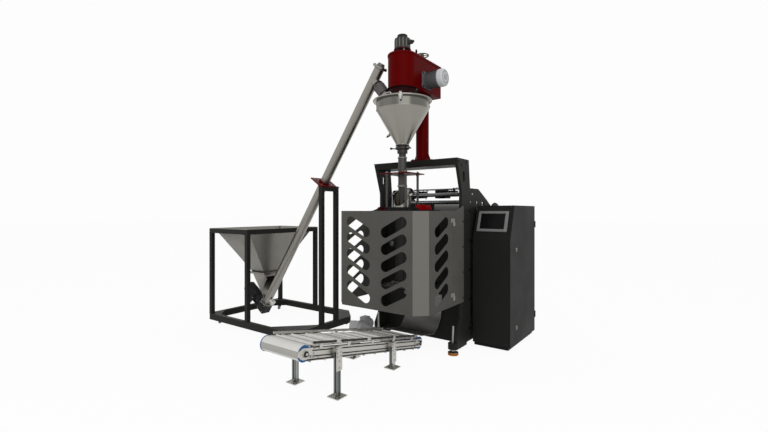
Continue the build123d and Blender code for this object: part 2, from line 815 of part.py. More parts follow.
with BuildPart() as guard_door:
    with BuildSketch(Plane.XY.offset(guard_bottom)):
        with BuildLine():
            Polyline(*guard_outline(0), *reversed(guard_outline(guard_sheet)), close=True)
        make_face()
    extrude(amount=guard_top - guard_bottom)
    guard_slots(Plane.XZ.offset(-guard_front), (-front_slot_x, front_slot_x), front_slot_reach, (-1, 1))
    for side in (-1, 1):
        guard_slots(Plane.YZ.offset(side * guard_half_width), (side_slot_y,), side_slot_reach, (1,))
    for height in hinge_heights:
        with Locations((hinge_x, hinge_line, height)):
            Cylinder(knuckle_radius, knuckle_length, align=bottom_up)
        with Locations((guard_half_width, hinge_line, height)):
            Box(hinge_leaf, hinge_leaf_width, knuckle_length, align=(Align.MIN, Align.MAX, Align.MIN))
        with Locations((hinge_x, hinge_line, height)):
            Cylinder(hinge_pin_radius + running_gap, knuckle_length, align=bottom_up,
                     mode=Mode.SUBTRACT)
keep(guard_door, "guard_door")

for side, name in ((-1, "guard_side_left"), (1, "guard_side_right")):
    with BuildPart() as guard_side:
        with BuildSketch(Plane.YZ.offset(min(side * half_width, side * guard_half_width))):
            with BuildLine():
                Line((hinge_line + guard_seam, guard_bottom), (upright_front + 40, guard_bottom))
                Line((upright_front + 40, guard_bottom), (upright_front + 40, guard_top + guard_arc_rise))
                Line((upright_front + 40, guard_top + guard_arc_rise),
                     (upright_front, guard_top + guard_arc_rise))
                RadiusArc((upright_front, guard_top + guard_arc_rise),
                          (hinge_line + guard_seam, guard_top), 460)
                Line((hinge_line + guard_seam, guard_top), (hinge_line + guard_seam, guard_bottom))
            make_face()
        extrude(amount=guard_sheet)
        if side > 0:
            for height in hinge_heights:
                with Locations((hinge_x, hinge_line, height - seat_gap)):
                    Cylinder(knuckle_radius, knuckle_length,
                             align=(Align.CENTER, Align.CENTER, Align.MAX))
                with Locations((guard_half_width, hinge_line, height - seat_gap)):
                    Box(hinge_leaf, hinge_leaf_width, knuckle_length,
                        align=(Align.MIN, Align.MIN, Align.MAX))
                with Locations((hinge_x, hinge_line, height - seat_gap)):
                    Cylinder(hinge_pin_radius, knuckle_length + seat_gap, align=bottom_up)
    keep(guard_side, name)


# Film carriage behind the frame: side plates, rollers, reel and coder

for side, name in ((-1, "film_carriage_left"), (1, "film_carriage_right")):
    inner = carriage_half_width - carriage_plate
    with BuildPart() as carriage:
        with BuildSketch(Plane.YZ.offset(min(side * inner, side * carriage_half_width))):
            with BuildLine():
                Polyline((carriage_front, body_top), (carriage_front, carriage_top),
                         (reel_y - 470, carriage_top), (body_back, carriage_top - 125),
                         (reel_y + 70, reel_z + 70), (reel_y + 70, reel_z - 70),
                         (body_back, reel_z - 120), (body_back, body_top), close=True)
            make_face()
            fillet(vertices().group_by(Axis.Y)[-1], radius=40)
            for row, level in (upper_roller, lower_roller):
                with Locations((row, level)):
                    Circle(roller_journal_radius + running_gap, mode=Mode.SUBTRACT)
            with Locations((reel_y, reel_z)):
                Circle(reel_shaft_radius + running_gap, mode=Mode.SUBTRACT)
            with Locations((960, 1570)):
                Circle(38, mode=Mode.SUBTRACT)
            with Locations((800, 1560)):
                SlotOverall(120, 36, rotation=90, mode=Mode.SUBTRACT)
        extrude(amount=carriage_plate)
    keep(carriage, name)

for name, (row, level) in (("upper_film_roller", upper_roller), ("lower_film_roller", lower_roller)):
    with BuildPart() as roller:
        with BuildSketch(Plane.YZ.offset(-carriage_half_width)):
            with Locations((row, level)):
                Circle(roller_journal_radius)
        extrude(amount=2 * carriage_half_width)
        with BuildSketch(Plane.YZ.offset(-inner + 3)):
            with Locations((row, level)):
                Circle(film_roller_radius)
        extrude(amount=2 * (inner - 3))
    keep(roller, name)

with BuildPart() as film_reel:
    with BuildSketch(Plane.YZ.offset(-carriage_half_width)):
        with Locations((reel_y, reel_z)):
            Circle(reel_shaft_radius)
    extrude(amount=2 * carriage_half_width)
    with BuildSketch(Plane.YZ.offset(-reel_half_width)):
        with Locations((reel_y, reel_z)):
            Circle(reel_radius)
    extrude(amount=2 * reel_half_width)
    for side in (-1, 1):
        with BuildSketch(Plane.YZ.offset(side * (reel_half_width + 20) - 20)):
            with Locations((reel_y, reel_z)):
                Circle(62)
        extrude(amount=40)
keep(film_reel, "film_reel")

with BuildPart() as film_coder:
    with BuildSketch(Plane.YZ.offset(-inner)):
        with Locations((coder_bar_y, coder_bar_z)):
            Circle(coder_bar_radius)
    extrude(amount=2 * inner)
    with Locations((80, coder_bar_y - 30, coder_bar_z)):
        Box(150, 110, 96)
    fillet(edges().filter_by(Axis.X).group_by(SortBy.LENGTH)[0], radius=6)
    with Locations((215, coder_bar_y - 20, coder_bar_z + 6)):
        Box(90, 84, 70)
keep(film_coder, "film_coder")

with BuildPart() as discharge_chute:
    chute_bend = (body_front - 10, chute_head_z - 150)
    with BuildSketch(Plane.YZ.offset(chute_left)):
        with BuildLine():
            Line((body_front, chute_head_z), chute_bend)
            sweep_round = JernArc(chute_bend, (-10, -150), 300, -58)
            Line(sweep_round @ 1, (chute_lip_y, chute_lip_z))
            offset(amount=chute_sheet, side=Side.RIGHT)
        make_face()
    extrude(amount=chute_right - chute_left)
keep(discharge_chute, "discharge_chute")


# Control cabinet: folded shell with a sloped upper front, open on the right behind its door

def cabinet_outline():
    """Draw the cabinet's side outline in the sketch that is open."""
    with BuildLine() as outline:
        Polyline((cabinet_front, foot_height), (cabinet_back, foot_height),
                 (cabinet_back, cabinet_top), (cabinet_front + cabinet_setback, cabinet_top),
                 (cabinet_front, cabinet_slope_start), close=True)
    make_face(outline.edges())


door_left = cabinet_right - door_depth
door_gap = 2 * seat_gap
cabinet_hinge = (cabinet_right, cabinet_back + knuckle_radius)
cabinet_hinge_heights = (1340.0, 255.0)

with BuildPart() as control_cabinet:
    with BuildSketch(Plane.YZ.offset(cabinet_left)):
        cabinet_outline()
    extrude(amount=door_left - cabinet_left)
    with BuildSketch(Plane.YZ.offset(cabinet_left + cabinet_sheet)):
        cabinet_outline()
        offset(amount=-cabinet_sheet)
    extrude(amount=door_left - cabinet_left, mode=Mode.SUBTRACT)
    with Locations((cabinet_left + cabinet_sheet, (cabinet_front + cabinet_back) / 2, 650)):
        Box(6, 620, 900, align=(Align.MIN, Align.CENTER, Align.CENTER))
    for height in cabinet_hinge_heights:
        with Locations((cabinet_right, cabinet_back, height - seat_gap)):
            Box(60, 4, knuckle_length, align=(Align.MAX, Align.MIN, Align.MAX))
        with Locations((*cabinet_hinge, height - seat_gap)):
            Cylinder(knuckle_radius, knuckle_length, align=(Align.CENTER, Align.CENTER, Align.MAX))
            Cylinder(hinge_pin_radius, knuckle_length + seat_gap, align=bottom_up)
keep(control_cabinet, "control_cabinet")

with BuildPart() as cabinet_door:
    with BuildSketch(Plane.YZ.offset(door_left + door_gap)):
        cabinet_outline()
        offset(amount=-1)
    extrude(amount=door_depth - door_gap)
    with BuildSketch(Plane.YZ.offset(door_left + door_gap)):
        cabinet_outline()
        offset(amount=-3)
    extrude(amount=door_depth - door_gap - cabinet_sheet, mode=Mode.SUBTRACT)
    for height in cabinet_hinge_heights:
        with Locations((cabinet_right, cabinet_back - 1, height)):
            Box(door_depth - door_gap, 5, knuckle_length, align=(Align.MAX, Align.MIN, Align.MIN))
        with Locations((*cabinet_hinge, height)):
            Cylinder(knuckle_radius, knuckle_length, align=bottom_up)
            Cylinder(hinge_pin_radius + running_gap, knuckle_length, align=bottom_up,
                     mode=Mode.SUBTRACT)
    for height in latch_heights:
        with BuildSketch(rod_sketch((cabinet_right - door_depth, latch_y, height), (1, 0, 0))):
            Circle(7 + running_gap)
        extrude(amount=2 * door_depth, mode=Mode.SUBTRACT)
keep(cabinet_door, "cabinet_door")

for height, name in zip(latch_heights, ("upper_latch", "lower_latch")):
    with BuildPart() as latch:
        with BuildSketch(rod_sketch((door_left + 4, latch_y, height), (1, 0, 0))):
            Circle(7)
        extrude(amount=door_depth)
        with BuildSketch(rod_sketch((cabinet_right + seat_gap, latch_y, height), (1, 0, 0))):
            Circle(latch_radius)
        extrude(amount=5)
        with Locations((cabinet_right + seat_gap, latch_y, height)):
            Box(latch_proud - seat_gap, 6, 2 * latch_radius,
                align=(Align.MIN, Align.CENTER, Align.CENTER))
        with Locations((door_left + 6, latch_y, height)):
            Box(5, 14, 56, align=(Align.MIN, Align.CENTER, Align.CENTER))
    keep(latch, name)

with BuildPart() as touch_panel:
    slope_share = (panel_z - cabinet_slope_start) / (cabinet_top - cabinet_slope_start)
    panel_middle = (panel_x, cabinet_front + cabinet_setback * slope_share, panel_z)
    facing = (0, cabinet_slope_start - cabinet_top, cabinet_setback)
    panel_plane = Plane(origin=panel_middle, x_dir=(1, 0, 0), z_dir=facing)
    with BuildSketch(panel_plane):
        RectangleRounded(panel_width, panel_height, 8)
    extrude(amount=panel_thickness)
    chamfer(faces().sort_by(Axis.Y)[0].edges(), length=4)
    with BuildSketch(panel_plane.offset(panel_thickness)):
        Rectangle(panel_width - 64, panel_height - 56)
    extrude(amount=-3, mode=Mode.SUBTRACT)
keep(touch_panel, "touch_panel")


# Screw feeder: everything on its axis is placed by a distance along it

feeder_rise = Vector(feeder_top_x - feeder_bottom_x, 0, feeder_top_z - feeder_bottom_z)
feeder_length = feeder_rise.length
along = feeder_rise.normalized()
upward = Vector(-along.Z, 0, along.X)
feeder_bottom = Vector(feeder_bottom_x, 0, feeder_bottom_z)


def feeder_plane(distance, height=0.0):
    """Give the plane across the screw's axis at a distance along it, height above it."""
    origin = feeder_bottom + along * distance + upward * height
    return Plane(origin=origin, x_dir=(0, 1, 0), z_dir=along)


chute_top_x = cart_left + (cart_tube + top_ring_length) / 2
spout_start = feeder_bottom + along * (feeder_length - spout_offset)
spout_knee = Vector(inlet_x, 0, lid_top + 90)
spout_way = (spout_knee - spout_start).normalized()
spout_stub_radius = spout_radius - spout_wall - 1
gate_level = chute_top_z + gate_gap


def chute_walls(inset, depth):
    """Loft the inlet chute from the gate down to the screw tube, drawn in by inset."""
    side_length = chute_size - 2 * inset
    with BuildSketch(Plane.XY.offset(chute_top_z)) as mouth:
        with Locations((chute_top_x, 0)):
            Rectangle(side_length, side_length)
    throat_middle = feeder_bottom + along * chute_throat + upward * depth
    with BuildSketch(Plane(origin=throat_middle, x_dir=along, z_dir=upward)) as throat:
        Rectangle(side_length, 2 * (screw_tube_radius - 8 - inset))
    return [mouth.sketch, throat.sketch]


with BuildPart() as screw_tube:
    with BuildSketch(feeder_plane(0)):
        Circle(screw_tube_radius)
    extrude(amount=feeder_length)
    with BuildSketch(feeder_plane(0), feeder_plane(feeder_length - screw_flange_thickness)):
        Circle(screw_flange_radius)
    extrude(amount=screw_flange_thickness)
    with BuildSketch(rod_sketch(spout_start, spout_way)):
        Circle(spout_stub_radius)
    extrude(amount=spout_offset)
    loft(chute_walls(0, 20), ruled=True)
    with Locations((chute_top_x, 0, chute_top_z)):
        Box(chute_size + 56, chute_size + 56, 8, align=(Align.CENTER, Align.CENTER, Align.MAX))
        with Locations((0, 140, 0), (0, -140, 0)):
            Box(chute_size + 56, 22, gate_gap, align=bottom_up)
    with BuildSketch(feeder_plane(0)):
        Circle(screw_tube_radius - screw_tube_wall)
    extrude(amount=feeder_length, mode=Mode.SUBTRACT)
    with BuildSketch(rod_sketch(spout_start, spout_way)):
        Circle(spout_stub_radius - spout_wall)
    extrude(amount=spout_offset, mode=Mode.SUBTRACT)
    loft(chute_walls(3, 0), ruled=True, mode=Mode.SUBTRACT)
    with BuildSketch(feeder_plane(feeder_length)):
        Circle(screw_flange_radius)
        Circle(feed_shaft_radius + running_gap, mode=Mode.SUBTRACT)
    extrude(amount=14)
keep(screw_tube, "screw_tube")

with BuildPart() as feed_screw:
    screw_start = 12.0
    with BuildSketch(feeder_plane(-60)):
        Circle(feed_shaft_radius)
    extrude(amount=feeder_length + 60 + 40)
    flight = helical_flight(feed_shaft_radius * 1.06 + seat_gap,
                            screw_tube_radius - screw_tube_wall - feed_flight_gap, feed_pitch,
                            feeder_length - 110 - screw_start, flight_thickness + 1,
                            feed_flight_steps)
    add(flight.moved(feeder_plane(screw_start).location))
keep(feed_screw, "feed_screw")

with BuildPart() as feeder_gearmotor:
    gear_middle = feeder_bottom - along * (gearbox_size / 2)
    with BuildSketch(feeder_plane(0)):
        Rectangle(gearbox_size, gearbox_size)
        fillet(vertices(), radius=18)
    extrude(amount=-gearbox_size)
    with BuildSketch(rod_sketch(gear_middle, upward)):
        Circle(gearbox_size / 2)
    extrude(amount=gearbox_size / 2 + 20)
    with BuildSketch(rod_sketch(gear_middle + upward * (gearbox_size / 2 + 20), upward)):
        Circle(feeder_motor_radius)
    extrude(amount=feeder_motor_length)
    with BuildSketch(rod_sketch(gear_middle + upward * (feeder_motor_length + 90), upward)):
        Circle(feeder_motor_radius - 6)
    extrude(amount=36)
    with BuildSketch(rod_sketch(gear_middle + upward * 210, (0, -1, 0))):
        Rectangle(90, 110)
    extrude(amount=feeder_motor_radius + 34)
    with BuildSketch(feeder_plane(0)):
        Circle(feed_shaft_radius + running_gap)
    extrude(amount=-70, mode=Mode.SUBTRACT)
keep(feeder_gearmotor, "feeder_gearmotor")

with BuildPart() as feeder_spout:
    knee_distance = (spout_knee - spout_start).length
    with BuildSketch(rod_sketch(spout_start + spout_way * 100, spout_way)):
        Circle(spout_radius)
    extrude(amount=knee_distance - 100)
    with Locations(spout_knee):
        Sphere(spout_radius)
    with Locations((inlet_x, 0, hopper_top)):
        Cylinder(spout_radius, spout_knee.Z - hopper_top, align=bottom_up)
    bore = spout_radius - spout_wall
    with BuildSketch(rod_sketch(spout_start + spout_way * 99, spout_way)):
        Circle(bore)
    extrude(amount=knee_distance - 99, mode=Mode.SUBTRACT)
    with Locations(spout_knee):
        Sphere(bore, mode=Mode.SUBTRACT)
    with Locations((inlet_x, 0, hopper_top - 1)):
        Cylinder(bore, spout_knee.Z - hopper_top + 1, align=bottom_up, mode=Mode.SUBTRACT)
keep(feeder_spout, "feeder_spout")


# Feeder cart: hollow base ring with solid-looking gusset corners, posts, top ring and screw saddle

cart_middle_x = (cart_left + cart_right) / 2
cart_length = cart_right - cart_left
ring_left = cart_left + cart_tube / 2
ring_right = ring_left + top_ring_length
ring_top = top_ring_bottom + top_ring_height
post_y = cart_half_depth - cart_tube / 2
saddle_x = cart_right - cart_tube / 2
saddle_tilt = saddle_reach * upward
saddle_distance = (saddle_x + saddle_tilt.X * 0.97 - feeder_bottom_x) / along.X


def base_ring(inset, left_corner, right_corner, mode):
    """Add or cut the base ring's block, drawn in by inset, with its corners cut off."""
    with BuildSketch(Plane.XY.offset(cart_bottom)) as ring:
        with Locations((cart_middle_x, 0)):
            Rectangle(cart_length - 2 * inset, 2 * (cart_half_depth - inset))
        chamfer(vertices().group_by(Axis.X)[0], length=left_corner)
        chamfer(vertices().group_by(Axis.X)[-1], length=right_corner)
    extrude(ring.sketch, amount=cart_ring_height, mode=mode)


def hollow_post(x, y, bottom, top):
    """Add a square tube that stands from bottom to top, closed by what it stands between."""
    with Locations((x, y, bottom)):
        Box(cart_tube, cart_tube, top - bottom, align=bottom_up)
        Box(cart_tube - 2 * cart_tube_wall, cart_tube - 2 * cart_tube_wall, top - bottom,
            align=bottom_up, mode=Mode.SUBTRACT)


caster_left_x = cart_left + caster_left_inset[0]
caster_left_y = cart_half_depth - caster_left_inset[1]
caster_right_x = cart_right - caster_right_inset[0]
caster_right_y = cart_half_depth - caster_right_inset[1]
crown_top = cart_bottom - 10

with BuildPart() as cart_frame:
    base_ring(0, cart_left_chamfer, cart_right_chamfer, Mode.ADD)
    base_ring(cart_tube, cart_gusset, cart_right_chamfer + cart_gusset, Mode.SUBTRACT)
    for x in (ring_left + cart_tube / 2, ring_right - cart_tube / 2):
        for side in (-1, 1):
            hollow_post(x, side * post_y, cart_bottom + cart_ring_height, top_ring_bottom)
    for side in (-1, 1):
        hollow_post(saddle_x, side * tall_post_y, cart_bottom + cart_ring_height, tall_post_top)
    with BuildSketch(Plane.XY.offset(top_ring_bottom)):
        with Locations((chute_top_x, 0)):
            Rectangle(top_ring_length, 2 * cart_half_depth)
            Rectangle(top_ring_length - 2 * cart_tube, 2 * (cart_half_depth - cart_tube),
                      mode=Mode.SUBTRACT)
    extrude(amount=top_ring_height)
    with Locations((saddle_x, 0, tall_post_top)):
        Box(cart_tube, 2 * tall_post_y - cart_tube, cart_tube,
            align=(Align.CENTER, Align.CENTER, Align.MAX))
        Box(cart_tube + 10, 2 * tall_post_y + cart_tube + 10, saddle_thickness, align=bottom_up)
    with BuildSketch(feeder_plane(saddle_distance - 30)):
        Circle(screw_tube_radius + 12)
    extrude(amount=60)
    with BuildSketch(feeder_plane(saddle_distance)):
        Rectangle(2 * tall_post_y + cart_tube, 2 * saddle_reach)
    extrude(amount=saddle_thickness)
    with BuildSketch(feeder_plane(saddle_distance - 300)):
        Circle(screw_tube_radius + seat_gap)
    extrude(amount=600, mode=Mode.SUBTRACT)
    for x, y in ((caster_left_x, caster_left_y), (caster_right_x, caster_right_y)):
        for side in (-1, 1):
            with Locations((x, side * y, cart_bottom)):
                Cylinder(22, cart_bottom - crown_top - seat_gap,
                         align=(Align.CENTER, Align.CENTER, Align.MAX))
    for side in (-1, 1):
        with Locations((caster_left_x, side * caster_left_y, cart_bottom)):
            Cylinder(caster_pin_radius + running_gap, 60, mode=Mode.SUBTRACT)
keep(cart_frame, "cart_frame")

with BuildPart() as feed_hopper:
    rim_x = top_ring_length - 2 * cart_tube - 2 * seat_gap
    rim_y = 2 * (cart_half_depth - cart_tube - seat_gap)

    def hopper_walls(inset, drop):
        """Draw the hopper's mouth and outlet, drawn in by inset, for a loft between them."""
        with BuildSketch(Plane.XY.offset(ring_top)) as mouth:
            with Locations((chute_top_x, 0)):
                Rectangle(rim_x - 2 * inset, rim_y - 2 * inset)
        with BuildSketch(Plane.XY.offset(gate_level - drop)) as outlet:
            with Locations((chute_top_x, 0)):
                Rectangle(chute_size - 2 * inset, chute_size - 2 * inset)
        return [mouth.sketch, outlet.sketch]

    loft(hopper_walls(0, 0), ruled=True)
    with BuildSketch(Plane.XY.offset(ring_top)):
        with Locations((chute_top_x, 0)):
            Rectangle(top_ring_length - 10, 2 * cart_half_depth - 10)
    extrude(amount=hopper_wall)
    with Locations((chute_top_x, 0, gate_level)):
        Box(chute_size + 56, chute_size + 56, 6, align=bottom_up)
    loft(hopper_walls(hopper_wall, 0), ruled=True, mode=Mode.SUBTRACT)
    with BuildSketch(Plane.XY.offset(ring_top)):
        with Locations((chute_top_x, 0)):
            Rectangle(rim_x - 2 * hopper_wall, rim_y - 2 * hopper_wall)
    extrude(amount=hopper_wall, mode=Mode.SUBTRACT)
keep(feed_hopper, "feed_hopper")

with BuildPart() as shutter_gate:
    with Locations((chute_top_x - 20, 0, chute_top_z + seat_gap)):
        Box(chute_size + 40, chute_size, gate_thickness, align=bottom_up)
    with Locations((chute_top_x - chute_size / 2 - 40, 0, chute_top_z + seat_gap)):
        Box(16, 120, 24, align=(Align.MAX, Align.CENTER, Align.MIN))
keep(shutter_gate, "shutter_gate")


# Casters: the pair at the left end swivels on trailing forks, the pair at the right end is fixed

def caster_fork(x, y, trail, crown_top, pin_top):
    """Add a caster's crown, cheeks, axle and pin about a swivel axis."""
    wheel_z = caster_wheel_radius
    cheek_y = caster_wheel_width / 2 + 1
    with Locations((x, y, 50)):
        Cylinder(19, crown_top - 50, align=bottom_up)
    with Locations((x - trail / 2, y, 50)):
        Box(trail + 26, 2 * (cheek_y + caster_cheek), caster_cheek, align=bottom_up)
    for side in (-1, 1):
        cheek_back = y + side * (cheek_y + caster_cheek / 2) + caster_cheek / 2
        with BuildSketch(Plane.XZ.offset(-cheek_back)) as cheek:
            with BuildLine() as outline:
                Polyline((x - trail - 8, wheel_z - 8), (x - trail + 8, wheel_z - 8), (x + 13, 50),
                         (x - trail - 13, 50), close=True)
            make_face(outline.edges())
        extrude(cheek.sketch, amount=caster_cheek)
    with BuildSketch(rod_sketch((x - trail, y - cheek_y, wheel_z), (0, 1, 0))) as axle:
        Circle(caster_axle_radius)
    extrude(axle.sketch, amount=2 * cheek_y)
    if pin_top > crown_top:
        with Locations((x, y, crown_top)):
            Cylinder(caster_pin_radius, pin_top - crown_top, align=bottom_up)


for side, row in ((-1, "front"), (1, "back")):
    with BuildPart() as swivel_fork:
        caster_fork(caster_left_x, side * caster_left_y, caster_trail, crown_top, cart_bottom + 16)
    keep(swivel_fork, f"swivel_fork_{row}")

with BuildPart() as fixed_forks:
    for side in (-1, 1):
        caster_fork(caster_right_x, side * caster_right_y, 0, crown_top + seat_gap, 0)
keep(fixed_forks, "fixed_forks")

for end, x, y in (("left", caster_left_x - caster_trail, caster_left_y),
                  ("right", caster_right_x, caster_right_y)):
    for side, row in ((-1, "front"), (1, "back")):
        with BuildPart() as caster_wheel:
            start = (x, side * y - caster_wheel_width / 2, caster_wheel_radius)
            with BuildSketch(rod_sketch(start, (0, 1, 0))):
                Circle(caster_wheel_radius)
                Circle(caster_axle_radius + running_gap, mode=Mode.SUBTRACT)
            extrude(amount=caster_wheel_width)
        keep(caster_wheel, f"caster_wheel_{end}_{row}")


# Take-away conveyor, drawn along its incline

def conveyor_plane(x, distance=0.0, height=0.0):
    """Give the plane square to X at a distance along the belt from the back drum."""
    y = conveyor_back_y - distance * cos(conveyor_slope) + height * sin(conveyor_slope)
    z = conveyor_back_z + distance * sin(conveyor_slope) + height * cos(conveyor_slope)
    return Plane(origin=(conveyor_x + x, y, z), z_dir=(1, 0, 0),
                 x_dir=(0, cos(conveyor_slope), -sin(conveyor_slope)))


def conveyor_bar(x, distance, height, length, thickness, width, mode=Mode.ADD):
    """Add a flat bar, length along the belt, from x for its width."""
    with BuildSketch(conveyor_plane(x, distance, height)) as bar:
        Rectangle(length, thickness)
    extrude(bar.sketch, amount=width, mode=mode)


rail_outer = rail_inner + rail_thickness
leg_x = rail_outer + leg_size / 2

with BuildPart() as conveyor_frame:
    for side in (-1, 1):
        rail_start = side * (rail_inner + rail_thickness / 2) - rail_thickness / 2
        conveyor_bar(rail_start, conveyor_run / 2, 0, conveyor_run + 2 * 42, rail_height, rail_thickness)
        conveyor_bar(rail_start, conveyor_run / 2, 78, conveyor_run - 120, 20, rail_thickness)
        for post in range(5):
            distance = conveyor_run * (post + 0.5) / 5
            conveyor_bar(rail_start, distance, 54, 36, 40, rail_thickness)
        for row in leg_rows:
            distance = (conveyor_back_y - row) / cos(conveyor_slope)
            top = conveyor_back_z + distance * sin(conveyor_slope) + rail_height / 2
            with Locations((conveyor_x + side * leg_x, row, foot_plate_thickness)):
                Box(leg_size, leg_size, top - foot_plate_thickness, align=bottom_up)
                Box(leg_size - 2 * leg_wall, leg_size - 2 * leg_wall, top - foot_plate_thickness - 4,
                    align=bottom_up, mode=Mode.SUBTRACT)
            bracket_x = conveyor_x + side * (leg_x + (leg_size + bracket_thickness) / 2)
            with Locations((bracket_x, row, top)):
                Box(bracket_thickness, bracket_width, bracket_height,
                    align=(Align.CENTER, Align.CENTER, Align.MAX))
            with BuildSketch():
                with Locations((conveyor_x + side * leg_x, row)):
                    Rectangle(foot_plate, foot_plate)
                    with GridLocations(foot_bolt_spacing, foot_bolt_spacing, 2, 2):
                        Circle(foot_bolt_radius, mode=Mode.SUBTRACT)
            extrude(amount=foot_plate_thickness)
    for share in (0.2, 0.5, 0.8):
        conveyor_bar(-rail_inner, conveyor_run * share, 0, 40, 24, 2 * rail_inner)
    conveyor_bar(-rail_inner, conveyor_run / 2, drum_radius - 3, conveyor_run - 150, 4, 2 * rail_inner)
    boss_ends = ((rail_outer, 0), (rail_outer, conveyor_run), (-rail_outer - boss_depth, conveyor_run))
    for x, distance in boss_ends:
        with BuildSketch(conveyor_plane(x, distance)):
            RegularPolygon(boss_radius, 12)
        extrude(amount=boss_depth)
    for distance in (0, conveyor_run):
        with BuildSketch(conveyor_plane(-rail_outer - boss_depth, distance)):
            Circle(drum_shaft_radius + running_gap)
        extrude(amount=2 * (rail_outer + boss_depth), mode=Mode.SUBTRACT)
keep(conveyor_frame, "conveyor_frame")


def belt_sketch(radius):
    """Draw the outline round both drums at a radius, in the sketch that is open."""
    for distance in (0, -conveyor_run):
        with Locations((distance, 0)):
            Circle(radius)
    make_hull()


with BuildPart() as conveyor_belt:
    with BuildSketch(conveyor_plane(-conveyor_belt_half_width)):
        belt_sketch(drum_outside)
    extrude(amount=2 * conveyor_belt_half_width)
    for cleat in range(cleat_count):
        distance = conveyor_run * (cleat + 0.5) / cleat_count
        for height in (drum_outside + cleat_height / 2 - 0.5, -drum_outside - cleat_height / 2 + 0.5):
            conveyor_bar(-conveyor_belt_half_width, distance, height, cleat_width, cleat_height + 1,
                         2 * conveyor_belt_half_width)
    with BuildSketch(conveyor_plane(-conveyor_belt_half_width)):
        belt_sketch(drum_outside - conveyor_belt_thickness)
    extrude(amount=2 * conveyor_belt_half_width, mode=Mode.SUBTRACT)
keep(conveyor_belt, "conveyor_belt")

for name, distance, overhang in (("drive_drum", 0, 20), ("tail_drum", conveyor_run, boss_depth + 4)):
    with BuildPart() as drum:
        with BuildSketch(conveyor_plane(-drum_half_width, distance)):
            Circle(drum_radius)
        extrude(amount=2 * drum_half_width)
        with BuildSketch(conveyor_plane(-rail_outer - overhang, distance)):
            Circle(drum_shaft_radius)
        extrude(amount=2 * rail_outer + overhang + boss_depth + 4)
    keep(drum, name)

with BuildPart() as conveyor_gearmotor:
    case_depth = 26.0
    motor_distance = (conveyor_back_y - conveyor_motor_y) / cos(conveyor_slope)
    with BuildSketch(conveyor_plane(-rail_outer - case_depth)):
        Circle(46)
        with Locations((-motor_distance, 96)):
            Circle(46)
        make_hull()
    extrude(amount=case_depth)
    with BuildSketch(conveyor_plane(-rail_outer - case_depth, motor_distance, 96)):
        Rectangle(112, 104)
        fillet(vertices(), radius=14)
    extrude(amount=-112)
    with BuildSketch(rod_sketch((conveyor_x - rail_outer - case_depth - 56, conveyor_motor_y, 268),
                                (0, 1, 0))):
        Circle(52)
    extrude(amount=250)
    with Locations((conveyor_x - rail_outer - case_depth - 56, conveyor_motor_y + 160, 326)):
        Box(70, 90, 40)
    with BuildSketch(conveyor_plane(-rail_outer - 21)):
        Circle(drum_shaft_radius + running_gap)
    extrude(amount=30, mode=Mode.SUBTRACT)
keep(conveyor_gearmotor, "conveyor_gearmotor")
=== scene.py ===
import itertools
import math

import bmesh
import bpy
from bpy.props import FloatProperty, FloatVectorProperty, IntProperty, PointerProperty
from mathutils import Matrix, Vector


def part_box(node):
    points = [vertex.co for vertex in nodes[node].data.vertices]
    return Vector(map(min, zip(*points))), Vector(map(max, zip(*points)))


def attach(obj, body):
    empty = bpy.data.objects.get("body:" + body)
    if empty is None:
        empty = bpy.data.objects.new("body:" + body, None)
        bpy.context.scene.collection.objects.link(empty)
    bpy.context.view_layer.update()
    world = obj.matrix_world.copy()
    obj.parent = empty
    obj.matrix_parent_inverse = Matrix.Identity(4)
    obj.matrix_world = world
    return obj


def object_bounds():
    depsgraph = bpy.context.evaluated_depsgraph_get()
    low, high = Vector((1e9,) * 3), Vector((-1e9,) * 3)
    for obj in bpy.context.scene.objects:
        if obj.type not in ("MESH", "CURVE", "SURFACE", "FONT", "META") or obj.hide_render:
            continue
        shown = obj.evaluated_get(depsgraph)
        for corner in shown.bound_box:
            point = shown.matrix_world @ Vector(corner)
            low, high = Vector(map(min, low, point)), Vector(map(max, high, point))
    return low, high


bl_info = {
    "name": "Auger powder filler dressing",
    "version": (1, 0, 0),
    "blender": (4, 5, 0),
    "location": "3D View > Sidebar > Filler",
    "description": "Finishes and visible details for an auger powder filling machine",
    "category": "Object",
}

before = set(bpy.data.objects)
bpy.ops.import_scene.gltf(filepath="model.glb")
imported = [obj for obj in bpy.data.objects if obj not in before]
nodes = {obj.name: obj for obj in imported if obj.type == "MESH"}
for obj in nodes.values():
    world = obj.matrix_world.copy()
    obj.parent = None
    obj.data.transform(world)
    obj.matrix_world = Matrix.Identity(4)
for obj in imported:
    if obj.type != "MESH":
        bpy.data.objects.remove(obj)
cad_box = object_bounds()


# Places as plain numbers are millimetres from the auger's axis and the floor, and plain sizes are
# millimetres too. Vectors, a user's settings and the inputs of nodes are in metres.

X, Y, Z = Vector((1, 0, 0)), Vector((0, 1, 0)), Vector((0, 0, 1))
SIDES = (-1, 1)
CORNERS = ((-1, -1), (1, -1), (1, 1), (-1, 1))
AUGER_LOW, AUGER_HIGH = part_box("auger_tube")
AUGER_AXIS = (AUGER_LOW + AUGER_HIGH) / 2
AUGER_AXIS.z = 0.0
MACHINE = Matrix.Translation(AUGER_AXIS)


def at(x, y, z):
    """Give a place in the scene."""
    return AUGER_AXIS + Vector((x, y, z)) / 1000


def box_of(node):
    """Give the two corners of a CAD node's box in plain numbers."""
    return [(corner - AUGER_AXIS) * 1000 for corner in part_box(node)]


def place_of(place):
    """Give a place in the scene from three plain numbers, or as it is if it is one already."""
    return place if isinstance(place, Vector) else at(*place)


def polar(radius, angle, z, across=0):
    """Give plain numbers for a place round the auger's axis; across lies square to the radius."""
    return (radius * math.cos(angle) - across * math.sin(angle),
            radius * math.sin(angle) + across * math.cos(angle), z)


def turns(count, start=0.0):
    """Share a full turn among a count of angles."""
    return [start + 2 * math.pi * step / count for step in range(count)]


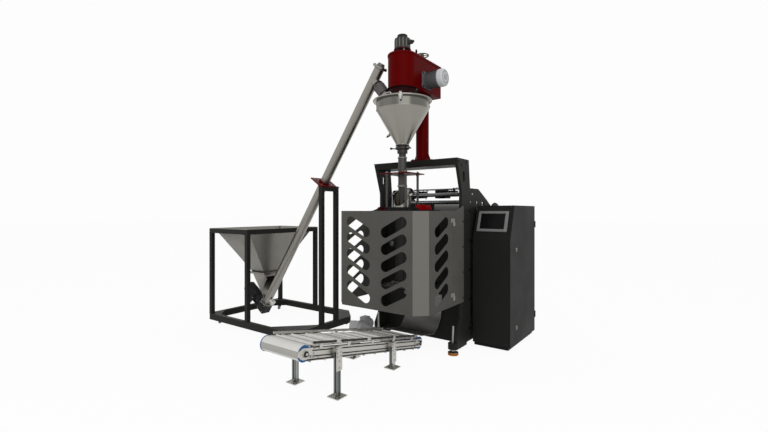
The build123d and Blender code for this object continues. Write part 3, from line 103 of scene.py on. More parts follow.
BELT_MIDDLE_X = -67
BELT_LENGTH = 1684
BELT_SLOPE = math.radians(11.5)


def belt_at(x, distance, height):
    """Give a place by the conveyor: across it, along it from its back drum, and above its middle."""
    return at(BELT_MIDDLE_X + x, 90 - distance * math.cos(BELT_SLOPE) + height * math.sin(BELT_SLOPE),
              96 + distance * math.sin(BELT_SLOPE) + height * math.cos(BELT_SLOPE))


# Each conveyor leg: its side, its middle and its top
LEGS = [(side, BELT_MIDDLE_X + side * 247, y, top) for side in SIDES
        for y, top in ((-1226, 403.7), (-448, 245.5))]

FEEDER_FOOT_X = -2250
FEEDER_LOW, FEEDER_HIGH = at(FEEDER_FOOT_X, 0, 240), at(-298, 0, 3094)
FEEDER_LENGTH = (FEEDER_HIGH - FEEDER_LOW).length * 1000
FEEDER_ALONG = (FEEDER_HIGH - FEEDER_LOW).normalized()
FEEDER_UP = Vector((-FEEDER_ALONG.z, 0, FEEDER_ALONG.x))


def feeder_at(along, up=0, y=0):
    """Give a place by the screw feeder: along it from its low end, above its axis and across it."""
    return FEEDER_LOW + (FEEDER_ALONG * along + FEEDER_UP * up + Y * y) / 1000


def turn_to(direction, origin):
    """Give the matrix that puts local Z along a direction at an origin."""
    turn = Vector(direction).to_track_quat("Z", "Y").to_matrix().to_4x4()
    return Matrix.Translation(place_of(origin)) @ turn


def local_frame(origin, along, upward):
    """Give the matrix whose X runs along a direction and whose Z points upward."""
    x_axis = along.normalized()
    z_axis = (upward - x_axis * upward.dot(x_axis)).normalized()
    turn = Matrix((x_axis, z_axis.cross(x_axis), z_axis)).transposed().to_4x4()
    return Matrix.Translation(place_of(origin)) @ turn


# Settings that a user would change

def screen(*parts):
    """Give a screen colour from parts written from 0 to 255."""
    return tuple(part / 255 for part in parts)


def color_setting(name, description, color):
    """Give a colour setting with its default."""
    return FloatVectorProperty(name=name, description=description, subtype="COLOR_GAMMA", size=3,
                               min=0.0, max=1.0, default=color)


def length_setting(name, description, default):
    """Give a length setting, in metres."""
    return FloatProperty(name=name, description=description, default=default, min=0.0,
                         subtype="DISTANCE", unit="LENGTH", precision=4)


class FillerColors(bpy.types.PropertyGroup):
    """Colours of the machine's finishes"""
    red: color_setting("Red paint", "Column, dosing head, deck and saddle", screen(90, 0, 1))
    black: color_setting("Black paint", "Frame, cart and film carriage", screen(38, 38, 36))
    cabinet: color_setting("Cabinet paint", "Control cabinet and its door", screen(34, 34, 33))
    guard: color_setting("Guard paint", "Folded guard sheets", screen(88, 87, 83))
    stainless: color_setting("Stainless steel", "Cone hopper and feeding parts", screen(146, 144, 136))
    dull_steel: color_setting("Dull steel", "Jaws, forks and machined parts", screen(112, 111, 108))
    feed_steel: color_setting("Feed hopper steel", "Feed hopper on the cart", screen(128, 126, 120))
    motor: color_setting("Motor housing", "Dosing motor", screen(66, 66, 64))
    motor_dark: color_setting("Dark housing", "Feeder gearmotor and coder", screen(50, 50, 51))
    fan_cap: color_setting("Fan cap", "Pale cap over the side motor's fan", screen(204, 206, 207))
    rubber: color_setting("Rubber", "Rollers, sleeves and seals", screen(24, 24, 24))
    belt: color_setting("Conveyor belt", "White belt cover", screen(232, 231, 226))
    belt_edge: color_setting("Belt edge", "Blue rings of the drums", screen(30, 92, 152))
    film: color_setting("Film", "Wound packing film", screen(74, 73, 70))
    bezel: color_setting("Panel bezel", "Touch panel frame", screen(124, 124, 123))
    pad: color_setting("Levelling pads", "Orange-brown pads under the feet", screen(176, 106, 30))
    caster: color_setting("Caster tread", "Grey tread of the casters", screen(176, 176, 176))


class FillerSizes(bpy.types.PropertyGroup):
    """Sizes of the fasteners and small details"""
    bolt_radius: length_setting("Bolt head", "Radius across a hexagon head's corners", 0.0075)
    bolt_height: length_setting("Bolt height", "Height of a hexagon head", 0.0055)
    washer_radius: length_setting("Washer", "Radius of a washer under a head", 0.0105)
    fin_height: length_setting("Motor fin", "How far a cooling fin stands out", 0.009)
    fin_thickness: length_setting("Fin thickness", "Thickness of a cooling fin", 0.003)
    side_fins: IntProperty(name="Side motor fins", description="Cooling fins round the side motor",
                           default=34, min=8, max=80)
    top_fins: IntProperty(name="Top motor fins", description="Cooling fins round the top motor",
                          default=14, min=8, max=80)


class FillerStage(bpy.types.PropertyGroup):
    """Floor, lamps and camera"""
    floor: color_setting("Floor", "Plain pale floor", screen(250, 250, 250))
    key_power: FloatProperty(name="Key lamp", description="Power of the large soft lamp",
                             default=300.0, min=0.0, unit="POWER")
    fill_power: FloatProperty(name="Fill lamp", description="Power of the front fill lamp",
                              default=40.0, min=0.0, unit="POWER")
    ambient: FloatProperty(name="Ambient", description="Strength of the world on dull surfaces",
                           default=0.55, min=0.0)
    lens: FloatProperty(name="Lens", description="Focal length of the camera", default=19.69,
                        min=1.0, unit="CAMERA")


def linear(color, amount=1.0):
    """Turn a screen colour into the linear colour that a shader takes, lighter or darker."""
    parts = (c / 12.92 if c <= 0.04045 else ((c + 0.055) / 1.055) ** 2.4 for c in color)
    return (*(min(1.0, part * amount) for part in parts), 1.0)


# Node helpers for shaders and Geometry Nodes

def feed(tree, socket, value):
    """Link a socket to another socket, or set its value."""
    if isinstance(value, bpy.types.NodeSocket):
        tree.links.new(value, socket)
    elif value is not None:
        socket.default_value = value


def node(tree, kind, *inputs, **settings):
    """Add a node; settings name an input or one of the node's own, and the rest go in order."""
    made = tree.nodes.new(kind)
    for key, value in settings.items():
        if hasattr(made, key):
            setattr(made, key, value)
        else:
            feed(tree, made.inputs[key.replace("_", " ")], value)
    for socket, value in zip(made.inputs, inputs):
        feed(tree, socket, value)
    return made


def calculate(tree, operation, first, second=None):
    """Add a math node and give its result."""
    return node(tree, "ShaderNodeMath", first, second, operation=operation).outputs[0]


def spread(tree, value, low, high):
    """Spread a value's range from low to high over 0 to 1."""
    return node(tree, "ShaderNodeMapRange", value, low, high).outputs[0]


# Shader node groups shared by the finishes

def shader_group(name, inputs, outputs):
    """Start a shader node group with named inputs and outputs."""
    group = bpy.data.node_groups.new(name, "ShaderNodeTree")
    for label, value in inputs.items():
        kind = "NodeSocketVector" if isinstance(value, tuple) else "NodeSocketFloat"
        group.interface.new_socket(label, in_out="INPUT", socket_type=kind).default_value = value
    for label in outputs:
        group.interface.new_socket(label, in_out="OUTPUT", socket_type="NodeSocketFloat")
    return group, node(group, "NodeGroupInput").outputs, node(group, "NodeGroupOutput").inputs


def object_noise(tree, scale, detail, stretch=None):
    """Add noise on Object coordinates, with its scale and its stretch from sockets."""
    place = node(tree, "ShaderNodeTexCoord").outputs["Object"]
    if stretch is not None:
        place = node(tree, "ShaderNodeVectorMath", place, stretch, operation="MULTIPLY").outputs[0]
    return node(tree, "ShaderNodeTexNoise", Vector=place, Scale=scale, Detail=detail,
                Roughness=0.6).outputs[0]


def build_grain_group():
    """Fine orange-peel height of sprayed paint or cast metal."""
    group, start, end = shader_group("Surface grain", {"Scale": 900.0}, ["Height"])
    feed(group, end["Height"], object_noise(group, start["Scale"], 3.0))
    return group


def build_brushed_group():
    """Long thin streaks left by brushing, as a height and a tone from 0 to 1."""
    group, start, end = shader_group(
        "Brushed grain", {"Scale": 60.0, "Stretch": (1.0, 1.0, 1.0)}, ["Height", "Tone"])
    streak = object_noise(group, start["Scale"], 4.0, start["Stretch"])
    feed(group, end["Height"], streak)
    feed(group, end["Tone"], spread(group, streak, 0.32, 0.68))
    return group


def build_smudge_group():
    """Slow change of tone over a large sheet, from 0 to 1."""
    group, start, end = shader_group("Handling marks", {"Scale": 3.0}, ["Tone"])
    feed(group, end["Tone"], spread(group, object_noise(group, start["Scale"], 6.0), 0.3, 0.7))
    return group


def end_mask(group, start, end, first, second):
    """Multiply two masks and the group's amount into its output."""
    mask = calculate(group, "MULTIPLY", first, second)
    feed(group, end["Mask"], calculate(group, "MULTIPLY", mask, start["Amount"]))


def build_wear_group():
    """Mask of rubbed outer edges, broken up by noise; it marks real rubbing and also a painted highlight
    along the edges.
    """
    group, start, end = shader_group(
        "Edge wear", {"Width": 0.003, "Breakup": 40.0, "Amount": 0.6}, ["Mask"])
    bevel = node(group, "ShaderNodeBevel", samples=4, Radius=start["Width"]).outputs[0]
    normal = node(group, "ShaderNodeNewGeometry").outputs["Normal"]
    agreement = node(group, "ShaderNodeVectorMath", bevel, normal, operation="DOT_PRODUCT")
    turned = calculate(group, "SUBTRACT", 1.0, agreement.outputs["Value"])
    noise = object_noise(group, start["Breakup"], 5.0)
    end_mask(group, start, end, spread(group, turned, 0.02, 0.2), spread(group, noise, 0.42, 0.62))
    return group


def build_dust_group():
    """Mask of powder settled on faces that look up."""
    group, start, end = shader_group("Settled powder", {"Amount": 0.3, "Scale": 9.0}, ["Mask"])
    normal = node(group, "ShaderNodeNewGeometry").outputs["Normal"]
    upward = node(group, "ShaderNodeSeparateXYZ", normal).outputs["Z"]
    noise = object_noise(group, start["Scale"], 5.0)
    end_mask(group, start, end, spread(group, upward, 0.55, 0.98), spread(group, noise, 0.38, 0.72))
    return group


SHARED = {}


# Finishes

# Pale tone of the rubbed edges: partly real rubbing, partly a painted highlight along the edges
BARE_EDGE_AND_HIGHLIGHT = screen(150, 148, 142)
POWDER = screen(206, 200, 186)


def shared(tree, kind, **values):
    """Place a shared node group in a material with its own values, and give its outputs."""
    made = node(tree, "ShaderNodeGroup", node_tree=SHARED[kind])
    for key, value in values.items():
        made.inputs[key].default_value = value
    return made.outputs


def blend(tree, factor, first, second):
    """Mix two numbers or two linear colours by a factor; the first may be a socket."""
    kind, place, result = ("RGBA", 6, 2) if isinstance(second, tuple) else ("FLOAT", 2, 0)
    made = node(tree, "ShaderNodeMix", factor, data_type=kind)
    feed(tree, made.inputs[place], first)
    feed(tree, made.inputs[place + 1], second)
    return made.outputs[result]


def coordinate(tree, axis):
    """Give one Object coordinate of the place that is shaded."""
    place = node(tree, "ShaderNodeTexCoord").outputs["Object"]
    return node(tree, "ShaderNodeSeparateXYZ", place).outputs[axis]


def zone_mask(tree, axis, low, high):
    """Give a mask that is 1 between two distances along an axis."""
    low, high = (getattr(at(distance, distance, distance), axis.lower()) for distance in (low, high))
    place = coordinate(tree, axis)
    above, below = calculate(tree, "GREATER_THAN", place, low), calculate(tree, "LESS_THAN", place, high)
    return calculate(tree, "MULTIPLY", above, below)


def add_zones(tree, zones, tone, rough=None, metal=None):
    """Lay bands on a finish: an axis, its ends, a colour and where wanted a roughness and metal."""
    for axis, low, high, color, *values in zones:
        mask = zone_mask(tree, axis, low, high)
        tone = blend(tree, mask, tone, linear(color))
        if values:
            rough = blend(tree, mask, rough, values[0])
        if values[1:]:
            metal = blend(tree, mask, 1.0 if metal is None else metal, values[1])
    return tone, rough, metal


def start_finish(name, gloss):
    """Start a material and give it with its node tree and its Principled shader."""
    material = bpy.data.materials.new(name)
    material.use_nodes = True
    shader = material.node_tree.nodes["Principled BSDF"]
    shader.inputs["Specular IOR Level"].default_value = gloss
    return material, material.node_tree, shader


def end_finish(tree, shader, tone, rough, height, depth, distance):
    """Wire a finish's colour, roughness and bump to its shader."""
    feed(tree, shader.inputs["Base Color"], tone)
    feed(tree, shader.inputs["Roughness"], rough)
    bump = node(tree, "ShaderNodeBump", Strength=depth, Distance=distance, Height=height)
    feed(tree, shader.inputs["Normal"], bump.outputs[0])


def paint(name, color, rough=0.42, grain=700.0, depth=0.35, wear=0.35, dust=0.0, zones=(), gloss=0.07):
    """Sprayed paint or powder coat with grain, handling marks, rubbed edges that also carry a painted
    highlight, and settled powder.
    """
    material, tree, shader = start_finish(name, gloss)
    smudge = shared(tree, "smudge", Scale=2.2)["Tone"]
    tone = blend(tree, smudge, linear(color, 0.88), linear(color, 1.12))
    rough = blend(tree, smudge, rough - 0.05, rough + 0.09)
    tone, rough, _ = add_zones(tree, zones, tone, rough)
    # Pale rubbed edges: partly real rubbing, partly a painted highlight along the edges
    if wear:
        mask = shared(tree, "wear", Width=0.0025, Breakup=55.0, Amount=wear)["Mask"]
        tone = blend(tree, mask, tone, linear(BARE_EDGE_AND_HIGHLIGHT))
    if dust:
        mask = shared(tree, "dust", Amount=dust, Scale=7.0)["Mask"]
        tone, rough = blend(tree, mask, tone, linear(POWDER)), blend(tree, mask, rough, 0.8)
    end_finish(tree, shader, tone, rough, shared(tree, "grain", Scale=grain)["Height"], depth, 0.0004)
    return material


def steel(name, color, rough, stretch, scale, zones=(), dust=0.0):
    """Bare metal with brushing streaks, handling marks and, where asked, painted zones."""
    material, tree, shader = start_finish(name, 0.08)
    streaks = shared(tree, "brushed", Scale=scale, Stretch=stretch)
    smudge = shared(tree, "smudge", Scale=2.6)["Tone"]
    tone = blend(tree, streaks["Tone"], linear(color, 0.86), linear(color, 1.1))
    rough = blend(tree, smudge, rough - 0.06, rough + 0.08)
    tone, rough, metal = add_zones(tree, zones, tone, rough)
    if dust:
        tone = blend(tree, shared(tree, "dust", Amount=dust, Scale=7.0)["Mask"], tone, linear(POWDER))
    feed(tree, shader.inputs["Metallic"], 1.0 if metal is None else metal)
    end_finish(tree, shader, tone, rough, streaks["Height"], 0.25, 0.0003)
    return material


def soft(name, color, rough, grain, depth, zones=(), gloss=0.3, stripes=None):
    """Rubber, moulded plastic, belt fabric or film; stripes repeat along an axis, in metres."""
    material, tree, shader = start_finish(name, gloss)
    smudge = shared(tree, "smudge", Scale=4.0)["Tone"]
    tone = blend(tree, smudge, linear(color, 0.9), linear(color, 1.04))
    if stripes:
        axis, pitch, width, stripe_color = stripes
        step = calculate(tree, "FRACT", calculate(tree, "DIVIDE", coordinate(tree, axis), pitch))
        tone = blend(tree, calculate(tree, "LESS_THAN", step, width / pitch), tone, linear(stripe_color))
    tone = add_zones(tree, zones, tone)[0]
    rough = blend(tree, smudge, rough - 0.06, rough + 0.06)
    end_finish(tree, shader, tone, rough, shared(tree, "grain", Scale=grain)["Height"], depth, 0.0003)
    return material


FINISHES = {}
FAN_COVER_DEPTH = 62


def build_finishes():
    """Make every material, with zones placed from the CAD nodes' boxes."""
    c = bpy.context.scene.filler_colors
    stand_top, fan_end = box_of("tube_stand")[1].z, box_of("agitator_motor")[1].x
    reel_low, reel_high = box_of("film_reel")
    pads_low = box_of("levelling_feet")[0].z
    edge = 12
    reel_end = screen(120, 120, 122)
    FINISHES.update({
        "red_paint": paint("Red paint", c.red, 0.42, 500.0, 0.25, 0.06, gloss=0.03),
        "deck_paint": paint("Deck paint", c.red, 0.45, 500.0, 0.25, 0.12, gloss=0.03,
                            zones=[("X", -140, 400, screen(30, 30, 28), 0.5)]),
        "dark_red": paint("Dark red paint", screen(46, 0, 4), 0.5, 500.0, 0.25, 0.06, gloss=0.03),
        "bright_red": paint("Bright red paint", screen(150, 4, 8), 0.42, 500.0, 0.25, 0.1),
        "black_paint": paint("Black paint", c.black, 0.46, 620.0, 0.4, 0.3, 0.05),
        "cart_paint": paint("Cart paint", c.black, 0.44, 620.0, 0.4, 0.3, 0.08,
                            zones=[("Z", 1788, stand_top, c.red, 0.34)]),
        "cabinet_paint": paint("Cabinet paint", c.cabinet, 0.5, 480.0, 0.5, 0.12),
        # X 430 to 540 is the right chamfer, painted lighter: painted light where it faces the key lamp. The
        # pale band from 544.4 is the hinges' own colour.
        "guard_paint": paint("Guard paint", c.guard, 0.5, 700.0, 0.3, 0.12,
                             zones=[("X", 430, 540, screen(120, 118, 112), 0.45),
                                    ("X", 544.4, 560, screen(150, 150, 146), 0.4)]),
        "black_block": paint("Black machined parts", screen(26, 26, 26), 0.4, 500.0, 0.3, 0.2),
        "motor": paint("Motor housing", c.motor, 0.42, 420.0, 0.5, 0.1,
                       zones=[("Z", 3160, 3208, screen(150, 148, 144), 0.35),
                              ("Z", 3208, 3222.2, screen(60, 2, 6), 0.45)]),
        # The top motor's fins are painted much lighter than its housing: painted highlight on the ribs.
        "motor_fin": paint("Motor fins", screen(116, 115, 111), 0.4, 420.0, 0.4, 0.1),
        "side_motor": paint("Side motor housing", screen(104, 104, 107), 0.42, 420.0, 0.5, 0.1,
                            zones=[("X", fan_end - FAN_COVER_DEPTH, fan_end + edge, c.fan_cap, 0.4)]),
        "fan_cap": paint("Fan cap", c.fan_cap, 0.42, 420.0, 0.2, 0.1),
        "motor_dark": paint("Dark housing", c.motor_dark, 0.45, 420.0, 0.6, 0.2),
        "belt_motor": paint("Conveyor motor", screen(172, 172, 173), 0.42, 420.0, 0.5, 0.1),
        # The zone round the hopper's band is polished and painted a darker steel: the darker tone is a
        # painted dark reflection.
        "stainless": steel("Stainless steel", c.stainless, 0.3, (1.0, 1.0, 16.0), 70.0,
                           zones=[("Z", 2575, 2665.5, screen(104, 103, 97), 0.2, 1.0)]),
        "stainless_flat": steel("Stainless sheet", c.feed_steel, 0.36, (1.0, 18.0, 1.0), 60.0, dust=0.25),
        # The neck zone is red paint darkened far below the head's red: painted shade under the dosing head's
        # housing.
        "neck": steel("Lid and neck", c.stainless, 0.3, (1.0, 1.0, 16.0), 70.0,
                      zones=[("Z", 2704, 2801, screen(34, 0, 1), 0.6, 0.0)]),
        "chute_steel": steel("Chute sheet", screen(128, 127, 124), 0.38, (16.0, 1.0, 1.0), 60.0),
        "tube_steel": steel("Tube steel", screen(140, 137, 131), 0.34, (18.0, 18.0, 1.0), 60.0),
        "spout_steel": steel("Spout steel", screen(112, 109, 106), 0.4, (12.0, 12.0, 1.0), 70.0),
        "dark_steel": steel("Dark steel", screen(58, 57, 55), 0.42, (12.0, 12.0, 1.0), 70.0),
        "dull_steel": steel("Dull steel", c.dull_steel, 0.4, (14.0, 1.0, 14.0), 80.0),
        "wheel_steel": steel("Handwheel steel", screen(86, 82, 75), 0.4, (1.0, 1.0, 1.0), 90.0),
        "guide_steel": steel("Guide steel", screen(62, 60, 56), 0.45, (1.0, 14.0, 14.0), 70.0),
        "leg_steel": steel("Leg profile", screen(118, 121, 121), 0.34, (14.0, 14.0, 1.0), 70.0),
        "stand_steel": steel("Tube stand", screen(72, 71, 68), 0.42, (12.0, 12.0, 1.0), 80.0,
                             zones=[("Z", 1889, 1901, c.red, 0.36, 0.0)]),
        "bright_steel": steel("Bright steel", screen(190, 190, 188), 0.22, (1.0, 12.0, 12.0), 60.0),
        "roller_steel": steel("Roller steel", screen(120, 121, 122), 0.26, (16.0, 1.0, 1.0), 60.0),
        "rail_steel": steel("Conveyor steel", screen(190, 188, 182), 0.36, (1.0, 16.0, 16.0), 60.0),
        "pads": steel("Levelling feet", screen(150, 150, 148), 0.35, (1.0, 1.0, 20.0), 80.0,
                      zones=[("Z", pads_low - edge, 25.5, c.pad, 0.5, 0.0)]),
        "bolt": steel("Zinc fasteners", screen(168, 168, 164), 0.3, (1.0, 1.0, 1.0), 200.0),
        "dark_bolt": steel("Black fasteners", screen(52, 52, 52), 0.36, (1.0, 1.0, 1.0), 200.0),
        "hose": soft("Spout hose", screen(92, 89, 88), 0.55, 300.0, 0.3),
        # The fan behind the cover is a darker grey than the cap: painted shade in the cover's recess.
        "fan_back": soft("Fan back", screen(172, 173, 174), 0.5, 300.0, 0.2),
        "card": soft("Card core", screen(150, 122, 88), 0.8, 300.0, 0.4),
        # Near-black strips laid where grooves and gaps are: painted shade, not a colour of the machine.
        "shadow": soft("Painted shade in grooves and gaps", screen(12, 12, 12), 0.9, 400.0, 0.1),
        "belt_ring": soft("Blue drum ring", c.belt_edge, 0.45, 300.0, 0.2),
        "screen": soft("Panel glass", screen(20, 20, 21), 0.3, 200.0, 0.02, gloss=0.06),
        "rubber": soft("Rubber", c.rubber, 0.62, 380.0, 0.4),
        "belt": soft("Conveyor belt", c.belt, 0.55, 900.0, 0.35,
                     stripes=("Y", 0.132, 0.030, screen(176, 175, 169))),
        "drum": soft("Drum ends", c.belt_edge, 0.4, 300.0, 0.2),
        "film": soft("Wound film", c.film, 0.28, 120.0, 0.15,
                     zones=[("X", reel_low.x - edge, -352, reel_end),
                            ("X", 352, reel_high.x + edge, reel_end)]),
        "bezel": soft("Panel bezel", c.bezel, 0.45, 260.0, 0.2),
        "caster": soft("Caster tread", c.caster, 0.55, 300.0, 0.2),
    })


# The finish of each CAD node
NODE_FINISHES = {
    "red_paint": "support_column head_housing",
    "deck_paint": "forming_deck",
    "black_paint": "side_plate_left side_plate_right arch_beam lower_body film_carriage_left "
                   "film_carriage_right",
    "cart_paint": "cart_frame",
    "cabinet_paint": "control_cabinet cabinet_door",
    "guard_paint": "guard_door guard_side_left guard_side_right",
    "chute_steel": "discharge_chute",
    "neck": "hopper_lid",
    "dark_steel": "auger_tube hopper_clamp forming_tube",
    "spout_steel": "feeder_spout",
    "wheel_steel": "lift_handwheel",
    "belt_motor": "conveyor_gearmotor",
    "stainless": "hopper forming_shoulder auger agitator feed_screw upper_latch lower_latch",
    "stainless_flat": "feed_hopper shutter_gate",
    "tube_steel": "screw_tube",
    "dull_steel": "front_jaw rear_jaw swivel_fork_front swivel_fork_back fixed_forks",
    "stand_steel": "tube_stand",
    "bright_steel": "agitator_drive_pulley",
    "roller_steel": "upper_film_roller lower_film_roller",
    "rail_steel": "conveyor_frame",
    "motor": "auger_motor",
    "side_motor": "agitator_motor",
    "motor_dark": "feeder_gearmotor film_coder",
    "rubber": "agitator_belt pull_roller_left pull_roller_right",
    "belt": "conveyor_belt",
    "drum": "drive_drum tail_drum",
    "film": "film_reel",
    "bezel": "touch_panel",
    "caster": "caster_wheel_left_front caster_wheel_left_back caster_wheel_right_front "
              "caster_wheel_right_back",
    "pads": "levelling_feet",
}


# Pieces, each made of shapes

def keep_mesh(name, mesh, finish, body, smooth):
    """Give a mesh its object, finish, body and slot."""
    mesh.materials.clear()
    mesh.materials.append(FINISHES[finish])
    made = bpy.data.objects.new(name, mesh)
    bpy.context.scene.collection.objects.link(made)
    mesh.shade_smooth()
    mesh.set_sharp_from_angle(angle=math.radians(smooth))
    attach(made, body)


def piece(name, finish, shapes, body="frame", smooth=40.0):
    """Make one finished piece of shapes and let it ride on a body."""
    bm = bmesh.new()
    for add_to in shapes:
        add_to(bm)
    bmesh.ops.remove_doubles(bm, verts=bm.verts, dist=0.00001)
    bmesh.ops.recalc_face_normals(bm, faces=bm.faces)
    mesh = bpy.data.meshes.new(name)
    bm.to_mesh(mesh)
    bm.free()
    keep_mesh(name, mesh, finish, body, smooth)


def shape(build):
    """Let a builder's call wait until its piece has a mesh to add to."""
    return lambda *places, **sizes: lambda bm: build(bm, *places, **sizes)


def bridge(bm, rings, closed=True):
    """Join each ring of vertices to the next one."""
    for low, high in zip(rings, rings[1:]):
        for step in range(len(low) if closed else len(low) - 1):
            after = (step + 1) % len(low)
            bm.faces.new((low[step], low[after], high[after], high[step]))


def turned_rings(bm, origin, direction, profile, segments):
    """Add a ring of vertices for each pair of distance and radius in a profile."""
    place = turn_to(direction, origin)
    return [[bm.verts.new(place @ (Vector((radius * math.cos(angle), radius * math.sin(angle), distance))
                                   / 1000)) for angle in turns(segments)]
            for distance, radius in profile]


@shape
def lathe(bm, origin, direction, profile, segments=40):
    """Add a closed solid of revolution."""
    rings = turned_rings(bm, origin, direction, profile, segments)
    bridge(bm, rings)
    bm.faces.new(rings[0][::-1])
    bm.faces.new(rings[-1])


@shape
def hoop(bm, origin, direction, profile, segments=56):
    """Add a ring whose profile is a closed loop."""
    rings = turned_rings(bm, origin, direction, profile, segments)
    bridge(bm, rings + rings[:1])


@shape
def ring(bm, origin, direction, inner, outer, depth, edge=1, segments=56):
    """Add a washer-like ring with chamfered outer edges."""
    hoop(origin, direction, [(0, inner), (0, outer - edge), (edge, outer), (depth - edge, outer),
                             (depth, outer - edge), (depth, inner)], segments)(bm)


@shape
def rod(bm, start, end, radius, segments=12, edge=0.8):
    """Add a round bar between two places, with its ends slightly chamfered."""
    start, end = place_of(start), place_of(end)
    length = (end - start).length * 1000
    edge = min(edge, radius * 0.4, length * 0.3)
    lathe(start, end - start, [(0, radius - edge), (edge, radius), (length - edge, radius),
                               (length, radius - edge)], segments)(bm)


@shape
def block(bm, first, second, rounding=0, place=MACHINE):
    """Add a box between two opposite corners with its edges rounded."""
    low, high = (Vector([pick(pair) for pair in zip(first, second)]) / 1000 for pick in (min, max))
    made = bmesh.ops.create_cube(bm, size=1.0)["verts"]
    for vertex in made:
        vertex.co = (low + high) / 2 + vertex.co * (high - low)
    if rounding:
        edges = {edge for vertex in made for edge in vertex.link_edges}
        made = bmesh.ops.bevel(bm, geom=list(edges), offset=rounding / 1000, segments=2,
                               affect="EDGES", profile=0.6)["verts"]
    bmesh.ops.transform(bm, matrix=place, verts=list(set(made)))


@shape
def prism(bm, outline, near, far, place):
    """Add a plate whose outline lies in local X and Z, between two distances along local Y."""
    layers = [[bm.verts.new(place @ (Vector((x, y, z)) / 1000)) for x, z in outline]
              for y in (near, far)]
    for layer in layers:
        bm.faces.new(layer)
    bridge(bm, layers)


def bars(name, finish, lines, radius, body="frame", cyclic=False):
    """Run round bars of one radius along lines of places."""
    curve = bpy.data.curves.new(name + ".line", "CURVE")
    curve.dimensions = "3D"
    curve.bevel_depth = radius / 1000
    curve.bevel_resolution = 3
    curve.use_fill_caps = True
    for line in lines:
        spline = curve.splines.new("POLY")
        spline.points.add(len(line) - 1)
        for point, place in zip(spline.points, line):
            point.co = (*place_of(place), 1.0)
        spline.use_cyclic_u = cyclic
    seed = bpy.data.objects.new(name + ".seed", curve)
    keep_mesh(name, result_of(seed, name), finish, body, 60.0)


def result_of(seed, name):
    """Give the evaluated mesh of an object that is thrown away."""
    bpy.context.scene.collection.objects.link(seed)
    bpy.context.view_layer.update()
    mesh = bpy.data.meshes.new_from_object(seed.evaluated_get(bpy.context.evaluated_depsgraph_get()))
    bpy.data.objects.remove(seed)
    mesh.name = name
    return mesh


# Geometry Nodes trees for what repeats

def geometry_tree(name, inputs):
    """Start a geometry tree with named inputs and a material, and give it with its end sockets."""
    tree = bpy.data.node_groups.new(name, "GeometryNodeTree")
    tree.interface.new_socket("Geometry", in_out="INPUT", socket_type="NodeSocketGeometry")
    for label, value in inputs.items():
        kind = "NodeSocketInt" if isinstance(value, int) else "NodeSocketFloat"
        tree.interface.new_socket(label, in_out="INPUT", socket_type=kind).default_value = value
    tree.interface.new_socket("Material", in_out="INPUT", socket_type="NodeSocketMaterial")
    tree.interface.new_socket("Geometry", in_out="OUTPUT", socket_type="NodeSocketGeometry")
    return tree, node(tree, "NodeGroupInput").outputs, node(tree, "NodeGroupOutput").inputs


def scatter(tree, start, end, points, instance, turn):
    """Set an instance on each point, realize them and set the material."""
    placed = node(tree, "GeometryNodeInstanceOnPoints", Points=points, Instance=instance,
                  Rotation=turn.outputs[0])
    realized = node(tree, "GeometryNodeRealizeInstances", placed.outputs[0])
    painted = node(tree, "GeometryNodeSetMaterial", Geometry=realized.outputs[0],
                   Material=start["Material"])
    feed(tree, end[0], painted.outputs[0])
    return tree


def raise_by(tree, geometry, height):
    """Move a geometry up its own Z by half of a height socket."""
    offset = node(tree, "ShaderNodeCombineXYZ", Z=calculate(tree, "MULTIPLY", height, 0.5))
    return node(tree, "GeometryNodeTransform", Geometry=geometry,
                Translation=offset.outputs[0]).outputs[0]


def facing_of(tree):
    """Read the facing of each point."""
    return node(tree, "GeometryNodeInputNamedAttribute", data_type="FLOAT_VECTOR",
                Name="facing").outputs[0]


def build_bolt_tree():
    """Hexagon heads on washers, one on each point, turned to the point's facing."""
    tree, start, end = geometry_tree("Bolt heads", {
        "Head Radius": 0.0075, "Head Height": 0.0055, "Washer Radius": 0.0105, "Washer Height": 0.0016})
    joined = node(tree, "GeometryNodeJoinGeometry")
    for part, corners in (("Head", 6), ("Washer", 18)):
        height = start[part + " Height"]
        solid = node(tree, "GeometryNodeMeshCylinder", Vertices=corners, Radius=start[part + " Radius"],
                     Depth=height)
        feed(tree, joined.inputs[0], raise_by(tree, solid.outputs["Mesh"], height))
    turn = node(tree, "FunctionNodeAlignRotationToVector", axis="Z", Vector=facing_of(tree))
    return scatter(tree, start, end, start["Geometry"], joined.outputs[0], turn)


def build_fin_tree():
    """Straight cooling fins round a cylinder that stands on the origin along Z."""
    tree, start, end = geometry_tree("Cooling fins", {
        "Count": 30, "Radius": 0.08, "Length": 0.1, "Fin Height": 0.009, "Fin Thickness": 0.003})
    size = node(tree, "ShaderNodeCombineXYZ", start["Fin Height"], start["Fin Thickness"], start["Length"])
    fin = node(tree, "GeometryNodeMeshCube", Size=size.outputs[0])
    circle = node(tree, "GeometryNodeMeshCircle", Vertices=start["Count"], Radius=start["Radius"])
    outward = node(tree, "GeometryNodeInputPosition").outputs[0]
    turn = node(tree, "FunctionNodeAlignRotationToVector", axis="X", pivot_axis="Z", Vector=outward)
    return scatter(tree, start, end, circle.outputs[0],
                   raise_by(tree, fin.outputs["Mesh"], start["Length"]), turn)


def build_louvre_tree():
    """Slanted louvre blades, one on each point, turned to the point's facing."""
    tree, start, end = geometry_tree("Louvres", {"Width": 0.3, "Height": 0.012, "Depth": 0.006})
    size = node(tree, "ShaderNodeCombineXYZ", start["Width"], start["Height"], start["Depth"])
    blade = node(tree, "GeometryNodeMeshCube", Size=size.outputs[0])
    slant = node(tree, "GeometryNodeTransform", Geometry=blade.outputs["Mesh"],
                 Rotation=(math.radians(28), 0.0, 0.0))
    turn = node(tree, "FunctionNodeAlignRotationToVector", axis="Z", pivot_axis="X",
                Vector=facing_of(tree))
    return scatter(tree, start, end, start["Geometry"], slant.outputs[0], turn)


TREES = {}


